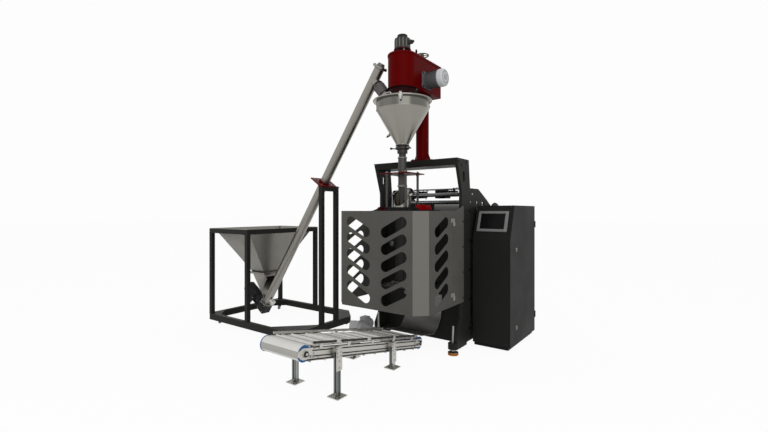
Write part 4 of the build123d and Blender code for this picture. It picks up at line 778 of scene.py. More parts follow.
def grow(name, kind, finish, values, places=(), body="frame", place=None):
    """Run a geometry tree on pairs of place and facing, and keep its result as a plain piece."""
    points = bpy.data.meshes.new(name + ".points")
    points.from_pydata([tuple(place_of(point)) for point, _ in places], [], [])
    if places:
        attribute = points.attributes.new("facing", "FLOAT_VECTOR", "POINT")
        attribute.data.foreach_set("vector", [part for _, facing in places for part in facing])
    seed = bpy.data.objects.new(name + ".seed", points)
    modifier = seed.modifiers.new("Grow", "NODES")
    modifier.node_group = TREES[kind]
    values = {**values, "Material": FINISHES[finish]}
    for item in TREES[kind].interface.items_tree:
        if item.in_out == "INPUT" and item.name in values:
            modifier[item.identifier] = values[item.name]
    mesh = result_of(seed, name)
    if place is not None:
        mesh.transform(place)
    keep_mesh(name, mesh, finish, body, 40.0)


def bolts(name, places, scale=1.0, finish="dark_bolt", body="frame"):
    """Set hexagon bolts at pairs of place and facing."""
    s = bpy.context.scene.filler_sizes
    grow(name, "bolt", finish, {"Head Radius": s.bolt_radius * scale, "Head Height": s.bolt_height * scale,
                                "Washer Radius": s.washer_radius * scale}, places, body)


def louvres(name, finish, width, height, x, y, levels):
    """Set louvre blades, sized in metres, one above another on a face that looks back."""
    grow(name, "louvre", finish, {"Width": width, "Height": height, "Depth": 0.006},
         [((x, y, z), Y) for z in levels])


def fins(name, finish, origin, direction, radius, length, count, height, thickness=None):
    """Set cooling fins round a motor; their height and thickness are in metres."""
    thickness = thickness or bpy.context.scene.filler_sizes.fin_thickness
    grow(name, "fin", finish, {"Count": count, "Radius": radius / 1000, "Length": length / 1000,
                               "Fin Height": 2 * height, "Fin Thickness": thickness},
         place=turn_to(direction, origin))


def grid(facing, *ranges):
    """Pair every place of a grid with one facing; each range is one number or several."""
    ranges = [r if isinstance(r, (tuple, range)) else (r,) for r in ranges]
    return [(place, facing) for place in itertools.product(*ranges)]


def circle(origin, direction, radius, count, start=0.0):
    """Pair places on a circle round a direction with that direction."""
    place = turn_to(direction, origin)
    return [(place @ (Vector((radius * math.cos(angle), radius * math.sin(angle), 0)) / 1000), direction)
            for angle in turns(count, start)]


# Operators, one for each piece or group of like pieces

class FILLER_OT_finishes(bpy.types.Operator):
    """Give every carried-over piece of the machine its finish"""
    bl_idname = "filler.finishes"
    bl_label = "Finishes"

    def execute(self, context):
        SHARED.update(grain=build_grain_group(), brushed=build_brushed_group(), wear=build_wear_group(),
                      dust=build_dust_group(), smudge=build_smudge_group())
        build_finishes()
        TREES.update(bolt=build_bolt_tree(), fin=build_fin_tree(), louvre=build_louvre_tree())
        for finish, names in NODE_FINISHES.items():
            for name in names.split():
                nodes[name].data.materials.clear()
                nodes[name].data.materials.append(FINISHES[finish])
        return {"FINISHED"}


class FILLER_OT_head(bpy.types.Operator):
    """Add the bolts, collars and cover plate of the dosing head and its column"""
    bl_idname = "filler.head"
    bl_label = "Dosing head details"

    def execute(self, context):
        top, underside, back = 3166, 2786, 575
        width = 138
        nose = [(polar(width, math.radians(degrees), top), Z) for degrees in (200, 235, 270, 305, 340)]
        bolts("head_cap_bolts", grid(Z, (-width, width), (40, 170, 300, 430, 550), top) + nose, 0.8)
        column, foot, lug = 416, 2086, 18
        bolts("column_foot_bolts", grid(Z, (-92, 92), (column - 55, column + 55), foot + 1), 1.5)
        skirt = [(0, 72), (0, 83.5), (3, 81.5), (9.5, 75.5), (11.5, 74.5), (11.5, 72)]
        piece("column_collars", "red_paint", [
            hoop((0, column, foot), Z, skirt, 64), ring((0, column, 2772), Z, 73.5, 86, 27, 2, 64),
            block((82, column - lug, 2774), (104, column + lug, 2797), 2)])
        bolts("column_collar_bolt", [((94, column - lug, 2785.5), -Y)])
        piece("head_back_cover", "red_paint", [block((-112, back - 3, 2852), (112, back, 3092), 1)])
        bolts("head_cover_bolts", grid(Y, (-98, 98), back, (2866, 2972, 3078))
              + grid(Y, 0, back, (2866, 3078)), 0.7)
        piece("head_drain_plugs", "bolt", [rod((x, y, underside), (x, y, underside + 15), 9, 20)
                                           for x, y in ((-140, 60), (140, 60), (0, 540))])
        return {"FINISHED"}


CONE_FOOT, CONE_TOP = 2203, 2570
CONE_SLOPE = 216 / 371


def cone_radius(z):
    """Give the radius of the hopper's cone at a level."""
    return 64 + (z - CONE_FOOT) * CONE_SLOPE


class FILLER_OT_hopper(bpy.types.Operator):
    """Add weld seams, lid handles, toggle levers and clamp parts to the cone hopper"""
    bl_idname = "filler.hopper"
    bl_label = "Hopper details"

    def execute(self, context):
        rim, roll, lid = 310.5, 5.5, 2680
        rolled = [(roll * math.cos(angle), rim + roll * math.sin(angle)) for angle in turns(10)]
        piece("hopper_rim_roll", "stainless", [
            hoop((0, 0, lid - 10), Z, rolled, 96),
            hoop((0, 0, CONE_TOP), Z, [(0, 278.5), (0.5, 281.2), (4, 282.2), (7.8, 280.8), (8, 278.5)], 96),
            hoop((0, 0, CONE_FOOT), Z, [(2, 63), (2, 66.8), (7, 68.2), (12, 66), (12, 63)], 64)],
              smooth=50.0)
        seam_angle, seam_foot, seam_steps = 2.2, CONE_FOOT + 9, 24
        seam = [polar(cone_radius(z) + 0.4, seam_angle, z) for z in (
            seam_foot + (CONE_TOP - 4 - seam_foot) / seam_steps * step for step in range(seam_steps + 1))]
        bars("hopper_seam", "stainless", [seam + [polar(280.4, seam_angle, lid - 20)]], 1.6)
        bow = ((-55, 0), (-55, 26), (-50, 36), (-40, 41), (40, 41), (50, 36), (55, 26), (55, 0))
        bars("lid_handles", "bright_steel",
             [[polar(228, math.radians(degrees), lid + rise, across) for across, rise in bow]
              for degrees in (-100, 80)], 4.5)
        # The upper flange lies in the neck finish's dark red zone of painted shade.
        piece("neck_flanges", "neck", [ring((0, 0, lid + 0.2), Z, 148, 178, 6, 1, 72),
                                       ring((0, 0, lid + 113.5), Z, 148, 166, 6, 1, 72)])
        bolts("neck_bolts", circle((0, 0, lid + 6), Z, 163, 12, 0.2), 0.7, "bolt")
        self.add_toggles()
        self.add_clamp()
        return {"FINISHED"}

    def add_toggles(self):
        reach, level = 324, 2652
        levers, hooks = [], []
        for angle in turns(3, math.pi):
            out, across = Vector(polar(1, angle, 0)), Vector(polar(0, angle, 0, 1))
            levers += [rod(polar(reach, angle, level - 8, a), polar(reach, angle, level + 12, a), 3)
                       for a in (-15.5, 15.5)]
            levers += [rod(polar(reach, angle, level, -19), polar(reach, angle, level, 19), 4.5, 16),
                       block((-10, -2, -22), (10, 2, 22), 1.5,
                             local_frame(polar(reach + 6, angle, level - 18), across, out * 0.35 + Z))]
            hooks.append([polar(reach + out_by, angle, level + rise, a) for out_by, a, rise in (
                (0, -12, 0), (6, -12, 20), (2, -10, 38), (2, 10, 38), (6, 12, 20), (0, 12, 0))])
        piece("toggle_levers", "bright_steel", levers)
        bars("toggle_hooks", "bright_steel", hooks, 2.2)

    def add_clamp(self):
        piece("clamp_knob", "rubber", [lathe((-132, 0, 2177.6), (-1, 0, 0.12), [
            (0, 7.5), (3, 10.5), (12, 12.5), (22, 11.5), (27, 7), (28.5, 3)], 24)])
        x, z = 82, 2171
        lugs = [block((x - 12, side * 15 - 9, z - 9), (x + 10, side * 15 + 9, z + 9), 2) for side in SIDES]
        lugs += [rod((x, low, z), (x, high, z), radius, segments) for low, high, radius, segments in (
            (-34, 34, 4, 16), (26, 36, 8.5, 6), (-36, -26, 8.5, 6))]
        lugs += [rod((side * 52, 52, z + 9), (side * 52, 52, z + 24), 6) for side in SIDES]
        piece("clamp_lugs", "dull_steel", lugs)
        slope = Vector((-1, 0, -CONE_SLOPE)).normalized()
        level = 2345
        sensor = at(1.5 - cone_radius(level), 0, level)
        piece("level_sensor_parts", "motor_dark", [
            lathe(sensor + slope * 0.010, slope, [(0, 16.5), (1, 19.5), (8, 19.5), (9, 16.5)], 6),
            lathe(sensor + slope * 0.0455, slope, [(0, 12.5), (2, 13.5), (12, 12.5), (16, 9), (24, 7.5),
                                                   (26, 6)], 24)])


RAIL_FACE = 227


class FILLER_OT_conveyor(bpy.types.Operator):
    """Add the profile grooves in painted shade, guide strips, bolts, bearings and drum rings of the conveyor
    """
    bl_idname = "filler.conveyor"
    bl_label = "Conveyor details"

    def execute(self, context):
        # Local X runs up the belt, and local Z stands square to it
        slope = local_frame(belt_at(0, 0, 0), belt_at(0, 1000, 0) - belt_at(0, 0, 0), Z)
        self.add_profiles(slope)
        self.add_guides(slope)
        self.add_ends(slope)
        self.add_drum_rings()
        self.add_legs()
        return {"FINISHED"}

    def add_profiles(self, slope):
        groove = 4.5
        # The grooves are near-black strips just proud of the faces: painted shade in the profiles' slots.
        piece("rail_grooves", "shadow", [
            block((low, side * (RAIL_FACE + 0.1), height - groove),
                  (high, side * (RAIL_FACE + 0.6), height + groove), 0, slope)
            for side in SIDES for height in (-21, 21)
            for low, high in ((75, 520), (585, 1310), (1375, 1610))])
        piece("rail_ribs", "rail_steel", [
            block((65, side * (RAIL_FACE - 0.1), height - 2),
                  (1620, side * (RAIL_FACE + 1.6), height + 2), 0.8, slope)
            for side in SIDES for height in (-37.5, -30, -12, 12, 30, 37.5)])
        # A leg's grooves and profiles end at the rail or, on the face that its bracket covers, below that
        half, thick, rail_drop, bracket_drop = 20, 20.8, 42, 190
        grooves, profiles = [], []
        for side, x, y, top in LEGS:
            grooves += [block((x - groove, y + face * half, 10),
                              (x + groove, y + face * (half + 0.5), top - rail_drop)) for face in SIDES]
            if top > 300:
                grooves.append(block((x + side * half, y - groove, 10),
                                     (x + side * (half + 0.5), y + groove, top - bracket_drop)))
            for face, edge in itertools.product(SIDES, SIDES):
                profiles.append(block((x + edge * 5, y + face * half, 9),
                                      (x + edge * thick, y + face * thick, top - rail_drop), 0.3))
                ceiling = top - (bracket_drop + 2 if face == side else rail_drop)
                if ceiling > 100:
                    profiles.append(block((x + face * half, y + edge * 5, 9),
                                          (x + face * thick, y + edge * thick, ceiling), 0.3))
        # Painted shade in the legs' slots
        piece("leg_grooves", "shadow", grooves)
        piece("leg_profiles", "leg_steel", profiles)

    def add_guides(self, slope):
        strips, caps = [], []
        for side in SIDES:
            for low, high in ((140, 460), (540, 860), (950, 1270), (1360, 1600)):
                strips += [block((low, side * (RAIL_FACE + 0.2), bottom),
                                 (high, side * (RAIL_FACE + 11.5), top), rounding, slope)
                           for bottom, top, rounding in ((71.5, 74.5, 0.8), (74.5, 89.5, 2.5))]
                caps += [block((end - 6, side * (RAIL_FACE - 0.6), 70.5),
                               (end + 6, side * (RAIL_FACE + 12.3), 90.5), 1.5, slope)
                         for end in (low, high)]
        piece("guide_strips", "guide_steel", strips)
        piece("guide_caps", "guide_steel", caps)

    def add_ends(self, slope):
        bolts("end_plate_bolts", [(belt_at(side * (RAIL_FACE + 0.3), distance, height), X * side)
                                  for side in SIDES for distance in (95, 150, 1535, 1590)
                                  for height in (-31, 0, 31) if height or distance in (95, 1590)],
              0.75, "bolt")
        piece("bearing_seals", "rubber", [
            ring(belt_at(side * 241.2, distance, 0), X * side, 11.5, 23.5, 2.5, 0.8, 40)
            for side, distance in ((1, 0), (1, BELT_LENGTH), (-1, BELT_LENGTH))])
        tensioners = []
        for x, distance, way in ((-238, 1630, 1), (238, 1630, 1), (238, 45, -1)):
            tensioners += [rod(belt_at(x, distance + way * start, -20), belt_at(x, distance + way * end, -20),
                               radius, segments)
                           for start, end, radius, segments in ((-22, 52, 4, 12), (10, 18, 7.5, 6))]
            tensioners.append(block((-11, -7, -8), (11, 7, 8), 1,
                                    Matrix.Translation(belt_at(x, distance, -20))))
        piece("belt_tensioners", "bolt", tensioners)
        piece("tail_end_plate", "rail_steel", [prism(
            [(1615, -34), (1700, -46), (1757, -18), (1757, 14), (1715, 42), (1615, 44)],
            RAIL_FACE + 0.2, RAIL_FACE + 5.5, slope)])

    def add_drum_rings(self):
        for body, distance, open_sides in (("drive_drum", 0, (1,)), ("tail_drum", BELT_LENGTH, SIDES)):
            piece(body + "_rings", "belt_ring", [
                ring(belt_at(side * 214.4, distance, 0), X * side, 30, 64, 6.2, 1.5, 64)
                for side in SIDES], body)
            piece(body + "_shaft_ends", "bright_steel", [
                lathe(belt_at(side * 245.2, distance, 0), X * side, [
                    (0, 9.5), (1, 10.5), (4.5, 10.5), (5.5, 9), (3.5, 4), (3.5, 0.4)], 24)
                for side in open_sides], body)

    def add_legs(self):
        bracket, foot, gussets = [], [], []
        for side, x, y, top in LEGS:
            plate = x + side * 25
            bracket += [((plate, y + dy, top - drop), X * side) for dy in (-20, 20)
                        for drop in (14, 44, 74)]
            bracket += [((plate, y, top - drop), X * side) for drop in (112, 168)]
            foot += [((x + dx, y + dy, 8), Z) for dx, dy in ((-26, -12), (26, 12), (-12, 26), (12, -26))]
            for along in (-X * side, -Y, Y):
                root = local_frame(at(x, y, 8) + along * 0.020, along, Z)
                gussets.append(prism([(0, 0), (16, 0), (0, 24)], -2, 2, root))
        piece("foot_gussets", "rail_steel", gussets)
        bolts("bracket_bolts", bracket, 0.75, "bolt")
        bolts("foot_screws", foot, 0.5, "bolt")


class FILLER_OT_guard(bpy.types.Operator):
    """Add hinge screws, fixing bolts, a handle and edge strips to the guard"""
    bl_idname = "filler.guard"
    bl_label = "Guard details"

    def execute(self, context):
        for name, body, spread_y, offset in (("guard_hinge_screws", "guard_door", (98, 82), 19),
                                             ("guard_hinge_screws_fixed", "frame", (124, 140), -19)):
            bolts(name, grid(X, 545.5, spread_y, (1385 + offset, 628 + offset)), 0.55, "bolt", body)
        face, half = 543, 1.6
        bolts("guard_panel_bolts", [((side * face, 345, z), X * side) for side in SIDES
                                    for z in (580, 850, 1120, 1390)], 0.9)
        edges = []
        for z in (533, 1500):
            edges += [block((side * (face - 3.8), -366, z - half), (side * (face + 1), 106, z + half), 1)
                      for side in SIDES]
            edges.append(block((-430, -483, z - half), (430, -478.2, z + half), 1))
        piece("guard_door_edge", "guard_paint", edges, "guard_door")
        bow = ((0, 940), (17, 950), (31, 970), (34, 1000), (34, 1100), (31, 1130), (17, 1150), (0, 1160))
        bars("guard_handle", "black_block", [[(-face - reach, -318, z) for reach, z in bow]], 7,
             "guard_door")
        piece("guard_catch", "rubber", [block((-face - 3.5, 60, 1300), (-face - 0.2, 104, 1380), 1),
                                        block((-face - 9, 66, 1310), (-face - 3, 98, 1370), 3)],
              "guard_door")
        piece("guard_switch", "rubber", [block((-face - 13, 116, 1296), (-face - 0.2, 146, 1384), 3)])
        return {"FINISHED"}


class FILLER_OT_frame_details(bpy.types.Operator):
    """Add bolts, nuts and seams to the bagging frame, its feet and the discharge chute"""
    bl_idname = "filler.frame_details"
    bl_label = "Frame details"

    def execute(self, context):
        bolts("frame_bolts", [((side * 540, y, z), X * side) for side in SIDES for y, z in (
            (262, 2022), (450, 2022), (340, 1990), (505, 1500), (505, 1180), (505, 860), (505, 540),
            (505, 220))], 1.4)
        nuts = []
        for x, y in itertools.product((-486, 486), (226, 1020)):
            nuts += [rod((x, y, 39.2), (x, y, 51), 21.5, 6, 1), ring((x, y, 25.1), Z, 40, 54.5, 2.5, 1, 40)]
        piece("foot_nuts", "bolt", nuts)
        bolts("body_front_bolts", grid(-Y, (-470, 470), 443, range(620, 1341, 180)), 0.9)
        back = 1090
        bolts("body_back_bolts", grid(Y, (-480, -160, 160, 480), back, (100, 1400))
              + grid(Y, (-480, 480), back, (420, 750, 1080)), 0.8)
        piece("body_back_cover", "black_paint", [block((-450, back, 130), (450, back + 2.5, 1370), 1)])
        louvres("body_back_louvres", "black_paint", 0.32, 0.012, 0, back + 2.5, range(480, 800, 26))
        self.add_chute_edges()
        return {"FINISHED"}

    def add_chute_edges(self):
        # The chute falls straight, then bends toward the front in short steps
        left, right = -219, 236
        y, z, heading = 433.0, 410.0, math.atan2(-150, -10)
        line = [(443, 560), (y, z)]
        bend_radius, bend, steps = 300, math.radians(58), 12
        for _ in range(steps):
            heading -= bend / steps / 2
            y += bend_radius * bend / steps * math.cos(heading)
            z += bend_radius * bend / steps * math.sin(heading)
            heading -= bend / steps / 2
            line.append((y, z))
        lip = (12, 205)
        line.append(lip)
        bars("chute_edges", "chute_steel", [[(x, *place) for place in line] for x in (left, right)], 4.2)
        bars("chute_lip", "chute_steel", [[(left, *lip), (right, *lip)]], 4.5)
        bolts("chute_bolts", grid(-Y, (-190, -60, 70, 205), 441, 535), 0.8, "bolt")


FEED_HOPPER_X = -2270
POST_X, POST_Y = -1075, 125


class FILLER_OT_feeder(bpy.types.Operator):
    """Add flanges, bolts, seams and the rubber sleeve to the screw feeder"""
    bl_idname = "filler.feeder"
    bl_label = "Screw feeder details"

    def execute(self, context):
        flanges = ((10, FEEDER_ALONG), (FEEDER_LENGTH + 14, FEEDER_ALONG),
                   (FEEDER_LENGTH - 10, -FEEDER_ALONG))
        bolts("screw_flange_bolts", [bolt for along, facing in flanges
                                     for bolt in circle(feeder_at(along), facing, 72.5, 8, 0.2)],
              0.8, "bolt")
        bearing = [lathe(feeder_at(FEEDER_LENGTH + 14.2), FEEDER_ALONG, [
            (0, 46), (10, 46), (14, 40), (30, 38), (32, 34), (32, 20.5)], 48)]
        bearing += [ring(feeder_at(along), FEEDER_ALONG, 57.2, 62.5, 8, 3)
                    for along in (10.2, FEEDER_LENGTH - 18.5)]
        piece("screw_end_bearing", "dull_steel", bearing)
        bars("screw_tube_seam", "tube_steel", [[feeder_at(along, -40, -40.5) for along in (
            330, 1200, 2200, FEEDER_LENGTH - 300)]], 1.5)
        piece("drain_cap", "rail_steel", [
            lathe(feeder_at(75, -55), -FEEDER_UP, [(0, 30), (4, 28), (40, 28), (40, 38), (50, 38), (52, 34),
                                                   (60, 32), (63, 26), (64, 2)]),
            rod(feeder_at(75, -102, -52), feeder_at(75, -102, 52), 6)])
        self.add_sleeve()
        self.add_saddle()
        return {"FINISHED"}

    def add_sleeve(self):
        start = feeder_at(FEEDER_LENGTH - 150)
        way = (at(-220, 0, 2770) - start).normalized()
        folds = [(0, 51.5), (0, 60), (2, 62.5), (8, 62.5), (11, 60), (14, 60), (17, 62.5), (24, 62.5),
                 (26, 60), (26, 55.5), (19, 55.5), (19, 51.5)]
        piece("spout_sleeve", "rubber", [hoop(start + way * 0.0815, way, folds)], smooth=50.0)
        ribs = [rib for step in range(8) for rib in ((8 + 15 * step, 66.5), (12 + 15 * step, 65))]
        hose = [(0, 55.5), (0, 63.5), (3, 66.5), *ribs, (122, 66.5), (125, 63.5), (125, 55.5)]
        piece("spout_hose", "hose", [hoop(start + way * 0.110, way, hose)], smooth=50.0)
        bands = []
        for distance in (0.116, 0.222):
            buckle = local_frame(start + way * (distance + 0.004) - Y * 0.0720, Z.cross(way), way)
            bands += [ring(start + way * distance, way, 66, 68, 8, 0.6),
                      block((-8, -8, -4), (8, 8, 6), 1, buckle)]
        piece("sleeve_bands", "dull_steel", bands)

    def add_saddle(self):
        # The plate's foot, a drop below the tube's axis, stands over the tall posts
        drop = 97
        plate = (POST_X - FEEDER_FOOT_X - drop * FEEDER_ALONG.z) / FEEDER_ALONG.x
        front = plate + 12
        bolts("saddle_bolts", [(feeder_at(front, up, y), FEEDER_ALONG) for y in (-115, 115)
                               for up in (-70, 70)]
              + circle(feeder_at(front), FEEDER_ALONG, 90, 6, math.pi / 6), 0.9, "bolt")
        bolts("saddle_post_bolts", grid(Z, (POST_X - 18, POST_X + 18), (-POST_Y, POST_Y), 1802), 0.8)
        middle = local_frame(feeder_at(plate), FEEDER_ALONG, FEEDER_UP)
        piece("saddle_lugs", "red_paint", [block((-30, side * 65, -22), (30, side * 77, 22), 2, middle)
                                           for side in SIDES])


class FILLER_OT_cart(bpy.types.Operator):
    """Add welds, flange bolts, the gate's knob and caster parts to the feeder cart"""
    bl_idname = "filler.cart"
    bl_label = "Feeder cart details"

    def execute(self, context):
        middle = FEED_HOPPER_X
        bars("feed_hopper_seams", "stainless_flat",
             [[(middle + sx * 354.5, sy * 549.5, 1266), (middle + sx * 124.5, sy * 124.5, 668)]
              for sx, sy in itertools.product(SIDES, SIDES)], 2.2)
        bars("feed_hopper_rim_bead", "stainless_flat",
             [[(middle + sx * 399, sy * 594, 1270.5) for sx, sy in CORNERS]], 3.2, cyclic=True)
        rim = [((middle + x, y, 1271), Z) for x in (-380, 0, 380) for y in (-575, -200, 200, 575)
               if x or abs(y) > 300]
        sides, ends = (middle - 140, middle, middle + 140), (middle - 140, middle + 140)
        bolts("feed_hopper_bolts", grid(Z, sides, (-140, 140), 668) + grid(Z, ends, 0, 668) + rim,
              0.7, "bolt")
        bolts("chute_flange_bolts", grid(-Z, ends, (-140, 140), 642), 0.7, "bolt")
        piece("gate_knob", "rubber", [lathe((-2451, 0, 662), -X, [
            (0, 8), (10, 8), (14, 13), (28, 16), (36, 12), (39, 5)], 28)], "shutter_gate")
        low, high, half = 145.5, 1209.5, 25.5
        feet = [*itertools.product((-2650, -1940), (-575, 575), (low, high)),
                (POST_X, -POST_Y, low), (POST_X, POST_Y, low)]
        bars("cart_welds", "black_block", [[(x + sx * half, y + sy * half, z) for sx, sy in CORNERS]
                                           for x, y, z in feet], 2.8, cyclic=True)
        bolts("cart_ring_bolts", grid(Z, (-2675, -1890), (-575, 575), 1268), 0.9)
        self.add_casters()
        return {"FINISHED"}

    def add_casters(self):
        for (end, x, reach, trail), (side, row) in itertools.product(
                (("left", -2591, 500, 16), ("right", -1190, 460, 0)), ((-1, "front"), (1, "back"))):
            name, y = "%s_%s" % (end, row), side * reach
            piece("caster_hub_" + name, "motor_dark", [
                ring((x, y + face * 10.05, 23), Y * face, 5, 13.5, 0.7, 0.3, 28) for face in SIDES],
                "caster_wheel_" + name)
            nuts = [rod((x, y + face * 14.1, 23), (x, y + face * 18.6, 23), 6.5, 6) for face in SIDES]
            nuts.append(ring((x + trail, y, 50.5), Z, 12, 21.5, 3, 1, 32))
            piece("caster_nuts_" + name, "bolt", nuts, "swivel_fork_" + row if end == "left" else "frame")


class FILLER_OT_bagger(bpy.types.Operator):
    """Add the collars, guides, jaw, roller, reel and coder parts of the bagging section"""
    bl_idname = "filler.bagger"
    bl_label = "Bagging section details"

    def execute(self, context):
        self.add_stand_parts()
        self.add_jaw_parts()
        self.add_film_parts()
        self.add_coder_parts()
        self.add_collar()
        return {"FINISHED"}

    def add_stand_parts(self):
        deck, plate = 1510.2, 1900.2
        nuts = []
        for x, y in itertools.product((-118, 118), (-118, 118)):
            nuts += [ring((x, y, deck), Z, 13, 24, 12, 1.5, 32),
                     rod((x, y, plate - 23.2), (x, y, plate - 10.6), 20.5, 6, 1),
                     lathe((x, y, plate), Z, [(0, 20.5), (10, 20.5), (12, 18), (13, 12.5), (20, 11),
                                              (24, 6)], 6)]
        nuts += [ring((0, 0, plate), Z, 46.2, 66, 12, 1.5), ring((0, 0, 2060.2), Z, 38.7, 50, 16, 2),
                 ring((0, 0, 1756), Z, 45.7, 52, 22, 2)]
        piece("stand_nuts", "dull_steel", nuts)
        bolts("stand_collar_bolts", circle((0, 0, plate + 11.8), Z, 57, 4, math.pi / 4), 0.6)
        guide = deck + 55.8
        piece("film_guide_block", "bright_red", [block((150, 16, deck), (203, 248, guide), 4),
                                                 block((158, 248, deck), (195, 292, guide - 14), 3)])
        bolts("film_guide_bolts", grid(Z, (163, 190), (34, 132, 230), guide), 0.8)
        front, side, low, high, thick = -154, 214, 1488, 1540, 3.8
        piece("deck_front_rail", "black_block", [
            block((-96, front, low), (side, front + thick, high), 1),
            block((side - thick, front, low), (side, -20, high), 1),
            block((-140, 385, deck), (145, 440, 1590), 3)])
        piece("deck_rail_ends", "dark_red", [
            block((-side, front, low), (-98, front + thick, high), 1),
            block((-side, front + thick, low), (thick - side, 120, high - 8), 1)])
        bolts("deck_bolts", grid(Z, (-188, 188), (-110, 40, 400), deck - 0.2)
              + grid(-Y, (-180, -120, -60, 40, 120, 185), front, 1512), 0.8)

    def add_jaw_parts(self):
        for body, side in (("front_jaw", -1), ("rear_jaw", 1)):
            bolts(body + "_bolts", grid(Y * side, (-140, -70, 70, 140), side * 106, (660, 720)), 0.9,
                  body=body)
            piece(body + "_heater_ends", "bright_steel", [
                lathe((end * 160.5, side * 83, 690), X * end, [(0, 9), (10, 9), (11, 7), (16, 6)], 20)
                for end in SIDES], body)
        bolts("jaw_rod_nuts", grid(-Y, (-188, 188), -225, 690), 2.0, "bolt")
        for body, x in (("pull_roller_left", -114), ("pull_roller_right", 114)):
            piece(body + "_ribs", "rubber", [ring((x, y, 1150), Y, 37.2, 38.8, 4, 0.8)
                                             for y in range(-22, 19, 8)], body)
            piece(body + "_cap", "dull_steel", [lathe((x, -30.2, 1150), -Y, [
                (0, 24), (4, 24), (6, 21), (6, 11), (13, 10.5), (14, 7)], 28)], body)

    def add_film_parts(self):
        for body, y, z in (("upper_film_roller", 650, 1690), ("lower_film_roller", 600, 1600)):
            nuts = []
            for side in SIDES:
                nuts += [rod((side * 505.2, y, z), (side * 511, y, z), 12.5, 6),
                         ring((side * 489.5, y, z), X * -side, 8.3, 20.5, 6, 1, 32)]
            piece(body + "_nuts", "bolt", nuts, body)
        reel = (1300, 1400)
        piece("reel_cones", "dull_steel", [lathe((side * 370.5, *reel), X * side, [
            (0, 60), (12, 52), (30, 34), (32, 24), (62, 24), (64, 15.5)], 48) for side in SIDES],
            "film_reel")
        piece("reel_core", "card", [ring((side * 350.2, *reel), X * side, 63, 76, 10) for side in SIDES],
              "film_reel")
        piece("reel_brake_disc", "black_block", [lathe((504, *reel), X, [
            (0, 14), (8, 14), (8, 60), (12, 64), (13, 199), (15, 203.5), (19, 205), (23, 203.5), (25, 199),
            (25, 60), (31, 55), (31, 24), (36, 22), (37, 2)], 96)], "film_reel")
        bars("film_guide_bars", "roller_steel", [[(-492, y, z), (492, y, z)]
                                                 for y, z in ((560, 1748), (700, 1610))], 9)

    def add_coder_parts(self):
        parts = [block((side * 493, 768, 1676), (side * 455, 812, 1724), 3) for side in SIDES]
        parts += [ring((x, 790, 1700), X, 15.3, 26, 14, 1.5, 32) for x in (-158, -310, 330, 372)]
        parts += [block(low, high, 3) for low, high in (
            ((-290, 748, 1658), (-176, 768, 1742)), ((-290, 768, 1718), (-176, 832, 1744)),
            ((-290, 768, 1658), (-176, 832, 1682)), ((-280, 700, 1668), (-240, 748, 1722)),
            ((-400, 742, 1650), (-322, 800, 1682)), ((-400, 742, 1682), (-322, 772, 1722)),
            ((18, 690, 1652), (142, 705.5, 1744)), ((30, 722, 1744), (130, 798, 1756)),
            ((238, 708, 1738), (262, 730, 1772)))]
        piece("coder_parts", "black_block", parts)
        knob = [(0, 6), (10, 6), (12, 13), (22, 13), (25, 8)]
        levers = [lathe((x, 770, 1741.5), Z, knob, 20) for x in (192, 236)]
        levers.append(lathe((-150, 790, 1727), Z, [(0, 5.5), (14, 5.5), (16, 14), (26, 14), (29, 9)], 20))
        levers += [rod(start, end, radius) for start, end, radius in (
            ((-270, 800, 1744), (-300, 800, 1786), 4.5), ((-200, 780, 1744), (-196, 780, 1772), 6),
            ((-150, 790, 1674), (-150, 752, 1640), 5), ((262, 719, 1765), (300, 719, 1775), 4.5),
            ((262, 719, 1690), (305, 719, 1672), 4.5))]
        piece("coder_levers", "bright_steel", levers)

    def add_collar(self):
        """Flare the shoulder's rear rim into the wing that folds the film"""
        # The wing runs from -20 to 200 degrees, and it is 52 higher at its back than at its sides
        angles = [math.radians(-20 + 220 * step / 32) for step in range(33)]
        section = ((92.4, 0), (104, 3), (120, -6), (136, -26), (139, -31), (137, -34), (134, -29),
                   (119, -9), (104, -0.5), (92.4, -4))

        def wing(bm):
            rows = [[bm.verts.new(at(*polar(radius, angle, 1700 + 52 * math.sin(angle) + lift)))
                     for angle in angles] for radius, lift in section]
            bridge(bm, rows + rows[:1], closed=False)
            for end in (0, -1):
                bm.faces.new([row[end] for row in rows])

        piece("shoulder_collar", "bright_steel", [wing], smooth=50.0)
        bars("collar_edge", "black_block", [[polar(139, angle, 1671 + 52 * math.sin(angle))
                                             for angle in angles]], 4)


CABINET_FRONT, CABINET_BACK = 583, 1440
SLOPE_START, SLOPE_LEAN, SLOPE_RISE = 1190, 134, 370


